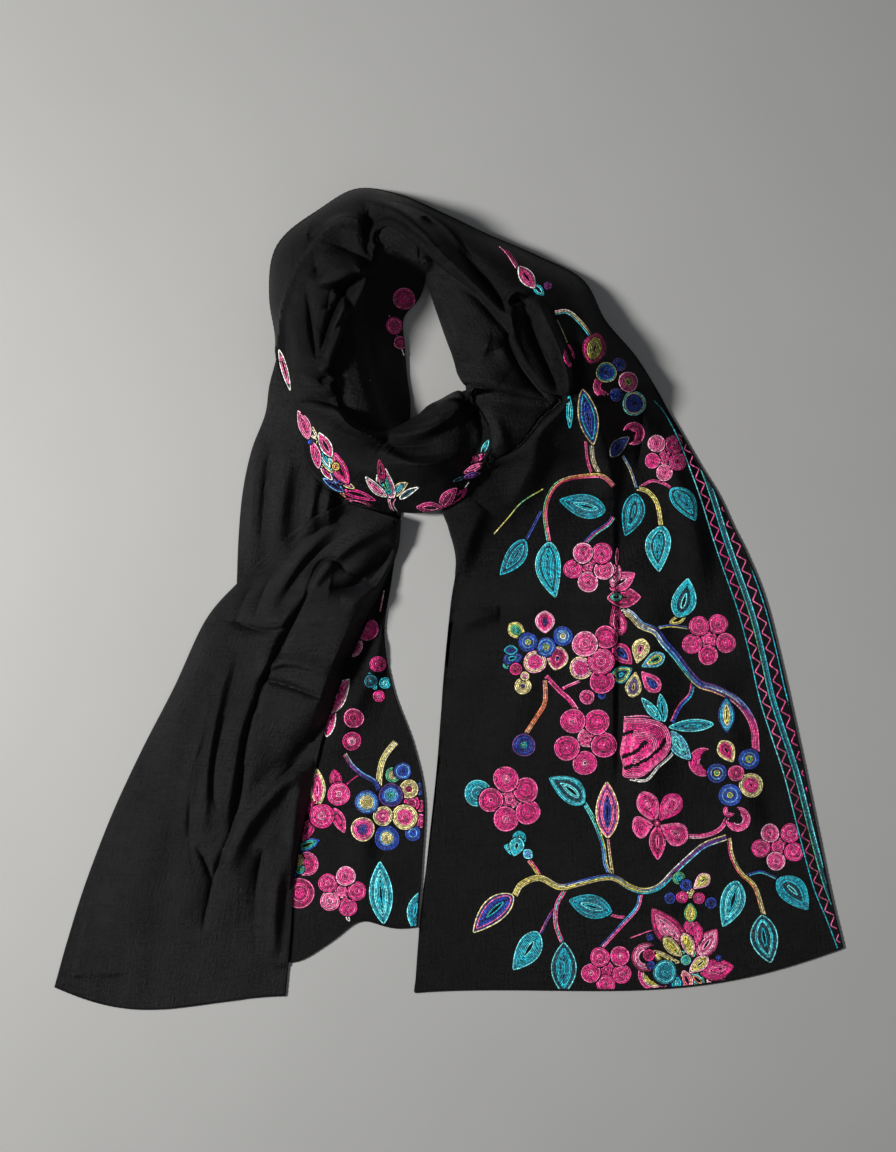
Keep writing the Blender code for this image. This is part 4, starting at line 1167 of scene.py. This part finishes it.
def border():
    """Straight rows and zigzags beside BORDER.

    A zigzag is a triangle wave of the distance d that the line has run, with its turns a little rounded:
    arcsin(0.97 sin(2 pi d/p + 0.25 sin(d/31))) / 1.326, whose inner sine makes one wave longer than the next.
    """
    line = smooth_line(BORDER, BORDER_PARTS)
    side = left_of(line)
    run = run_along(line)[:, None]
    late = BORDER_HIDDEN * BORDER_PARTS
    rows = [((line + side * away)[late if away else 0:], tints(names)) for away, names in BORDER_ROWS]
    for low, high, period, names in ZIGZAGS:
        wave = np.arcsin(0.97 * np.sin(2 * np.pi * run / period + 0.25 * np.sin(run / 31))) / 1.326
        away = (low + high) / 2 + (high - low) / 2 * wave
        rows.append(((line + side * away)[late:], tints(names)))
    return rows


class Needle:
    """Sews the rows of one stretch: they are collected first, then found on the cloth and made one mesh."""

    def __init__(self, stretch, seed):
        self.stretch = stretch
        self.draw = np.random.default_rng(seed)
        self.taken = np.zeros([int(2 * reach / BARE_CELL) + 4 for reach in REACH], bool)
        self.rows = 0
        self.empty()

    def empty(self):
        """Lists for the rows' places, colours, numbers and which of them are free."""
        self.spots, self.tints, self.parts, self.free = [], [], [], []

    def sew(self, rows):
        """Adds one motif's rows. A stitch where an earlier motif lies is left out."""
        added = []
        for line, tint in rows:
            steps = run_along(line)
            count = max(3 * int(steps[-1] / STITCH + 0.5), 3)
            added.append(read_off(np.linspace(0, steps[-1], count + 1), steps, line))
            stops = np.atleast_2d(tint)
            own = read_off(np.linspace(0, len(stops) - 1, count + 1), np.arange(len(stops)), stops)
            each = np.repeat(self.draw.normal(1, STITCH_UNLIKE, count // 3 + 1), 3)[:count + 1, None]
            self.tints.append(own * np.clip(each * self.draw.normal(1, ROW_UNLIKE), *SHADES))
            self.parts.append(np.stack([np.full(count + 1, self.rows), np.arange(count + 1) % 3], -1))
            self.rows += 1
        spots = np.concatenate(added)
        i, j = self.cell(spots)
        self.free.append(~self.taken[i, j])
        self.spots.append(spots)
        self.take(spots[self.free[-1]])

    def cell(self, spots):
        """Row and column of the map of sewn places."""
        return np.clip(((spots + REACH) / BARE_CELL).astype(int) + 1, 1, np.array(self.taken.shape) - 2).T

    def take(self, spots):
        """Marks these places and the cells round them as sewn."""
        i, j = self.cell(spots)
        for a in (-1, 0, 1):
            for b in (-1, 0, 1):
                self.taken[i + a, j + b] = True

    def cast(self, name, cover, material):
        """The mesh: a three-sided section on the cloth's outer face, full and tall in the middle of each loop.

        Its left and right edges lie SUNK in the cloth, at half the width from the row; its ridge stands up by the
        height. LOOP_WIDE and LOOP_TALL are the shares of both at the three places of a loop.
        """
        spots, free, own, parts = (np.concatenate(v) for v in (self.spots, self.free, self.tints, self.parts))
        p, q, inside = self.stretch.find(spots)
        place, normal = self.stretch.on_top(p, q)
        good = free & inside & (cover.at(place[:, 0], place[:, 1]) < place[:, 2] + SEEN)
        linked = good[:-1] & good[1:] & (parts[:-1, 0] == parts[1:, 0])
        before, after = np.append(False, linked), np.append(linked, False)
        kept = before | after
        place, normal, own, parts, before, after = (v[kept] for v in (place, normal, own, parts, before, after))
        step = np.zeros_like(place)
        step[after] += place[np.flatnonzero(after) + 1] - place[after]
        step[before] += place[before] - place[np.flatnonzero(before) - 1]
        side = unit(np.cross(normal, unit(step)))
        wide = (ROW_WIDE / 2 * np.array(LOOP_WIDE)[parts[:, 1]])[:, None]
        tall = (ROW_TALL * np.array(LOOP_TALL)[parts[:, 1]])[:, None]
        points = np.stack([place + side * wide - normal * SUNK, place + normal * tall,
                           place - side * wide - normal * SUNK], 1).reshape(-1, 3)
        left = 3 * np.flatnonzero(after)
        quads = np.concatenate([np.stack([a, b, b + 3, a + 3], -1)
                                for a, b in ((left, left + 1), (left + 1, left + 2), (left + 2, left))])
        first, last = 3 * np.flatnonzero(~before), 3 * np.flatnonzero(~after)
        caps = np.concatenate([np.stack([first, first + 2, first + 1], -1),
                               np.stack([last, last + 1, last + 2], -1)])
        faces = quads.tolist() + caps.tolist()
        new_object(name, points, faces, material, colour=np.repeat(own, 3, 0))
        self.empty()


class Socket:
    """An output of a material's node, or a number, with the sums and products that the formulas use."""

    def __init__(self, finish, out):
        self.finish, self.out = finish, out

    def math(self, operation, *values):
        """A Math node on wrapped values or numbers."""
        return self.finish.node("ShaderNodeMath", {"operation": operation}, *values)

    def __add__(self, other):
        return self.math("ADD", self, other)

    def __radd__(self, other):
        return self.math("ADD", other, self)

    def __sub__(self, other):
        return self.math("SUBTRACT", self, other)

    def __rsub__(self, other):
        return self.math("SUBTRACT", other, self)

    def __mul__(self, other):
        return self.math("MULTIPLY", self, other)

    def __rmul__(self, other):
        return self.math("MULTIPLY", other, self)

    def sine(self):
        return self.math("SINE", self)


class Finish:
    """A material whose nodes are added by formulas. constants are the shader's own sockets."""

    def __init__(self, name, constants):
        self.material = bpy.data.materials.new(name)
        self.material.use_nodes = True
        self.tree = self.material.node_tree
        self.shader = self.tree.nodes["Principled BSDF"]
        for socket, value in constants.items():
            self.shader.inputs[socket].default_value = value

    def give(self, socket, value):
        """Links a wrapped output to a socket, or sets the socket's own value. None leaves it."""
        if isinstance(value, Socket):
            self.tree.links.new(value.out, socket)
        elif value is not None:
            socket.default_value = value

    def node(self, kind, settings, *values, out=0, **named):
        """A node of that kind: first its settings, then its sockets in their order, then those given by name."""
        made = self.tree.nodes.new(kind)
        for name, value in settings.items():
            setattr(made, name, value)
        for socket, value in zip(made.inputs, values):
            self.give(socket, value)
        for name, value in named.items():
            self.give(made.inputs[name], value)
        return Socket(self, made.outputs[out])

    def feed(self, socket, value):
        """Gives a value to one of the shader's own sockets."""
        self.give(self.shader.inputs[socket], value)

    def noise(self, where, scale, detail=2.0, roughness=0.5):
        """Soft noise from 0 to 1 over the places that where gives."""
        return self.node("ShaderNodeTexNoise", {}, where, None, scale, detail, roughness)

    def mixed(self, share, low, high):
        """One colour for 0 and the other for 1."""
        made = self.tree.nodes.new("ShaderNodeMix")
        made.data_type = "RGBA"
        self.give(made.inputs[0], share)
        colours = [socket for socket in made.inputs if socket.type == "RGBA"]
        for socket, value in zip(colours, (low, high)):
            self.give(socket, value if isinstance(value, Socket) else (*value, 1))
        return Socket(self, next(socket for socket in made.outputs if socket.type == "RGBA"))


def wool(name, pale):
    """Black fine wool: a plain weave, with slubs along warp and weft and a soft uneven nap.

    The cloth's UV map is in millimetres, so all scales are per millimetre. Each of the four noises runs from 0 to
    1, and tone, height and roughness are weighted sums of them. pale multiplies the cloth's lightest tone and its
    gloss, which is how the reverse with its longer nap differs from the face.
    """
    finish = Finish(name, {
        "Roughness": 0.5,
        "Specular IOR Level": 0.13 * pale,
        "Sheen Weight": 0.01,
        "Sheen Roughness": 0.5,
        "Sheen Tint": (0.78, 0.82, 0.95, 1),
    })
    weave, slub_length, slub_width = 7.4, 0.05, 0.42
    place = finish.node("ShaderNodeUVMap", {"uv_map": "cloth"})
    across = finish.node("ShaderNodeSeparateXYZ", {}, place)
    along = Socket(finish, across.out.node.outputs[1])
    slubs = {"scale": 1.0, "detail": 3.0, "roughness": 0.75}
    weft = finish.noise(finish.node("ShaderNodeCombineXYZ", {}, across * slub_length, along * slub_width, 0.0),
                        **slubs)
    warp = finish.noise(finish.node("ShaderNodeCombineXYZ", {}, across * slub_width, along * slub_length, 7.0),
                        **slubs)
    nap = finish.noise(place, scale=0.045, detail=4.0, roughness=0.6)
    thread = (across * weave).sine() * (along * weave).sine()
    fuzz = finish.noise(place, scale=0.5, detail=3.0, roughness=0.75)
    tone = warp * 1.8 + weft * 1.8 + nap * 0.8 + fuzz * 2.4 - 2.9
    darkest, lightest = (0.0003, 0.0003, 0.0004), np.array((0.0054, 0.0054, 0.0064)) * pale
    finish.feed("Base Color", finish.mixed(tone, darkest, tuple(lightest)))
    height = thread * 0.3 + warp * 2.2 + weft * 2.2 + fuzz * 1.8
    finish.feed("Roughness", warp * 0.22 + weft * 0.22 + fuzz * 0.2 + 0.18)
    finish.feed("Normal", finish.node("ShaderNodeBump", {}, Strength=0.8, Distance=0.0005, Height=height))
    return finish.material


def embroidery_thread():
    """Bright rayon thread: each stitch has its own shade, darker specks, painted glints and fine strands.

    The scales are per metre. A speck multiplies the thread's own colour by 4.4 n - 1.15, with the noise n from 0 to
    1, and a painted glint is a painted highlight: a paler mix of that colour put into the base colour where 6 n - 3.4
    is above 0.
    """
    finish = Finish("thread", {
        "Roughness": 0.5,
        "Specular IOR Level": 0.35,
        "Sheen Weight": 0.15,
        "Sheen Roughness": 0.4,
    })
    own = finish.node("ShaderNodeVertexColor", {"layer_name": "thread"})
    place = finish.node("ShaderNodeTexCoord", {}, out=3)
    speck = finish.noise(place, scale=520.0, detail=2.0, roughness=0.7)
    shade = finish.node("ShaderNodeVectorMath", {"operation": "SCALE"}, own, Scale=speck * 4.4 - 1.15)
    # Painted highlight: pale spots of sheen are mixed into the thread's base colour, where no lamp makes them.
    painted_glint = finish.noise(place, scale=640.0, detail=1.0, roughness=0.5)
    painted_glint = finish.node("ShaderNodeMath", {"operation": "MULTIPLY_ADD", "use_clamp": True}, painted_glint, 6.0, -3.4)
    # The colour of the painted highlight: the thread's own colour made paler.
    pale = finish.node("ShaderNodeVectorMath", {"operation": "MULTIPLY_ADD"}, own, (1.15,) * 3, (0.15, 0.16, 0.16))
    finish.feed("Base Color", finish.mixed(painted_glint, shade, pale))
    strands = finish.noise(place, scale=1600.0, detail=1.0)
    finish.feed("Normal", finish.node("ShaderNodeBump", {}, Strength=0.35, Distance=0.0002, Height=strands))
    return finish.material


def area_light(name, place, target, size, spread, power, colour):
    """A round light in metres and watts that looks at its target; spread is the angle that it shines into."""
    light = bpy.data.lights.new(name, "AREA")
    light.shape = "DISK"
    light.spread = np.radians(spread)
    light.size, light.energy, light.color = size, power, colour
    made = bpy.data.objects.new(name, light)
    made.location = place
    made.rotation_euler = (Vector(target) - made.location).to_track_quat("-Z", "Y").to_euler()
    bpy.context.scene.collection.objects.link(made)


def studio():
    """Pale floor, a key light low on the left, weak fill from the right and a camera that looks straight down."""
    height = PICTURE[1] * PIXEL * MM
    eye = bpy.data.cameras.new("camera")
    eye.sensor_width = 36.0
    eye.lens = eye.sensor_width * EYE_HEIGHT / height
    camera = bpy.data.objects.new("camera", eye)
    camera.location = (*plan((PICTURE[0] / 2, PICTURE[1] / 2)) * MM, EYE_HEIGHT)
    bpy.context.scene.collection.objects.link(camera)
    bpy.context.scene.camera = camera

    finish = Finish("pale_floor", {"Roughness": 0.85, "Specular IOR Level": 0.2})
    cloud = finish.noise(finish.node("ShaderNodeTexCoord", {}, out=3), scale=3.0, detail=5.0, roughness=0.6)
    finish.feed("Base Color", finish.mixed(cloud, *FLOOR_TONES))
    mesh = bpy.data.meshes.new("floor")
    corners = [(x * FLOOR, y * FLOOR, 0) for x, y in ((-1, -1), (1, -1), (1, 1), (-1, 1))]
    mesh.from_pydata(corners, [], [(0, 1, 2, 3)])
    mesh.materials.append(finish.material)
    floor = bpy.data.objects.new("floor", mesh)
    bpy.context.scene.collection.objects.link(floor)

    for light in LIGHTS:
        area_light(*light)
    world = bpy.data.worlds.new("studio")
    world.use_nodes = True
    sky = world.node_tree.nodes["Background"].inputs
    sky["Color"].default_value, sky["Strength"].default_value = ROOM_LIGHT
    bpy.context.scene.world = world
    bpy.context.scene.view_settings.view_transform = "Standard"


def lay_cloth():
    """All stretches in the order in which they lie, and the pile that holds all but the two topmost ones."""
    pile = Pile()
    pile.add(node_spots("ring_core"))
    band = RIGHT_END + RING_OUTER + RING_FRONT
    turn_1 = len(RIGHT_END) - 1
    turn_2 = turn_1 + len(RING_OUTER)
    cloth = {}
    for name, table in (("left_lower", LEFT_LOWER), ("ring_under", RING_UNDER), ("left_upper", LEFT_UPPER)):
        cloth[name] = Stretch(name, pile, table)
        pile.add(cloth[name].top_spots())
    base = Pile(pile)
    right_end = cloth["right_end"] = Stretch("right_end", pile, band, 0, turn_1)
    pile.add(right_end.top_spots())
    ring_inner = cloth["ring_inner"] = Stretch("ring_inner", pile, RING_INNER, below=base)
    outer_bed = Pile(base)
    for bed in (outer_bed, pile):
        bed.add(ring_inner.top_spots())
    ring_outer = cloth["ring_outer"] = Stretch("ring_outer", outer_bed, band, turn_1, turn_2, right_end)
    pile.add(ring_outer.top_spots(-FRONT_ROWS))
    ring_front = cloth["ring_front"] = Stretch("ring_front", pile, band, turn_2, -1, ring_outer, base, FRONT_TUCK)
    right_end.join(ring_outer)
    ring_outer.join(ring_front)
    return cloth, pile


def dress(cloth):
    """The cloth pieces, in place of the CAD solids, and their hems."""
    for name, piece in cloth.items():
        side = REVERSE if name in REVERSE_UP else WOOL
        shell(name + "_cloth", piece.whole, piece.whole_normal, piece.whole_uv, side)
        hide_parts(name)
    for name, (wide, long, area, held, beds) in SHEETS.items():
        whole, hems = cloth[name].whole, []
        if name in HEMMED:
            side, end = HEMMED[name]
            edge = whole[:, side]
            if end == "start":
                edge = np.concatenate([whole[0] if side else whole[0, ::-1], edge[1:]])
            elif end == "end":
                edge = np.concatenate([edge, whole[-1, 1:] if side == 0 else whole[-1, -2::-1]])
            hems = [hem(name + "_hem", edge, WOOL)]


def embroider(cloth, cover):
    """The rows of stitches on every stretch, where no more than SEEN of other cloth covers them."""
    for name in ("ring_outer", "ring_front"):
        cover.add(cloth[name].top_spots())
    for name, piece in cloth.items():
        needle = Needle(piece, len(name))
        if name == "right_end":
            needle.sew(border())
            needle.cast("border_embroidery", cover, THREAD)
            for gap in BUD_GAPS:
                needle.take(smooth_line(gap))
            needle.sew(patch(BUD, BUD_THREADS))
        for kind, table in ((disc, DISCS), (leaf, LEAVES), (crescent, CRESCENTS), (stem, STEMS)):
            for motif in table.get(name, ()):
                needle.sew(kind(*motif))
            if name == "right_end" and kind is disc:
                needle.cast("petals_embroidery", cover, THREAD)
        if needle.rows:
            needle.cast(name + "_embroidery", cover, THREAD)


studio()
WOOL = wool("black_wool", 1.0)
REVERSE = wool("wool_reverse", 1.45)
THREAD = embroidery_thread()
cloth, pile = lay_cloth()
dress(cloth)
embroider(cloth, pile)

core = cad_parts["ring_core"]
core.data.materials.clear()
core.data.materials.append(WOOL)
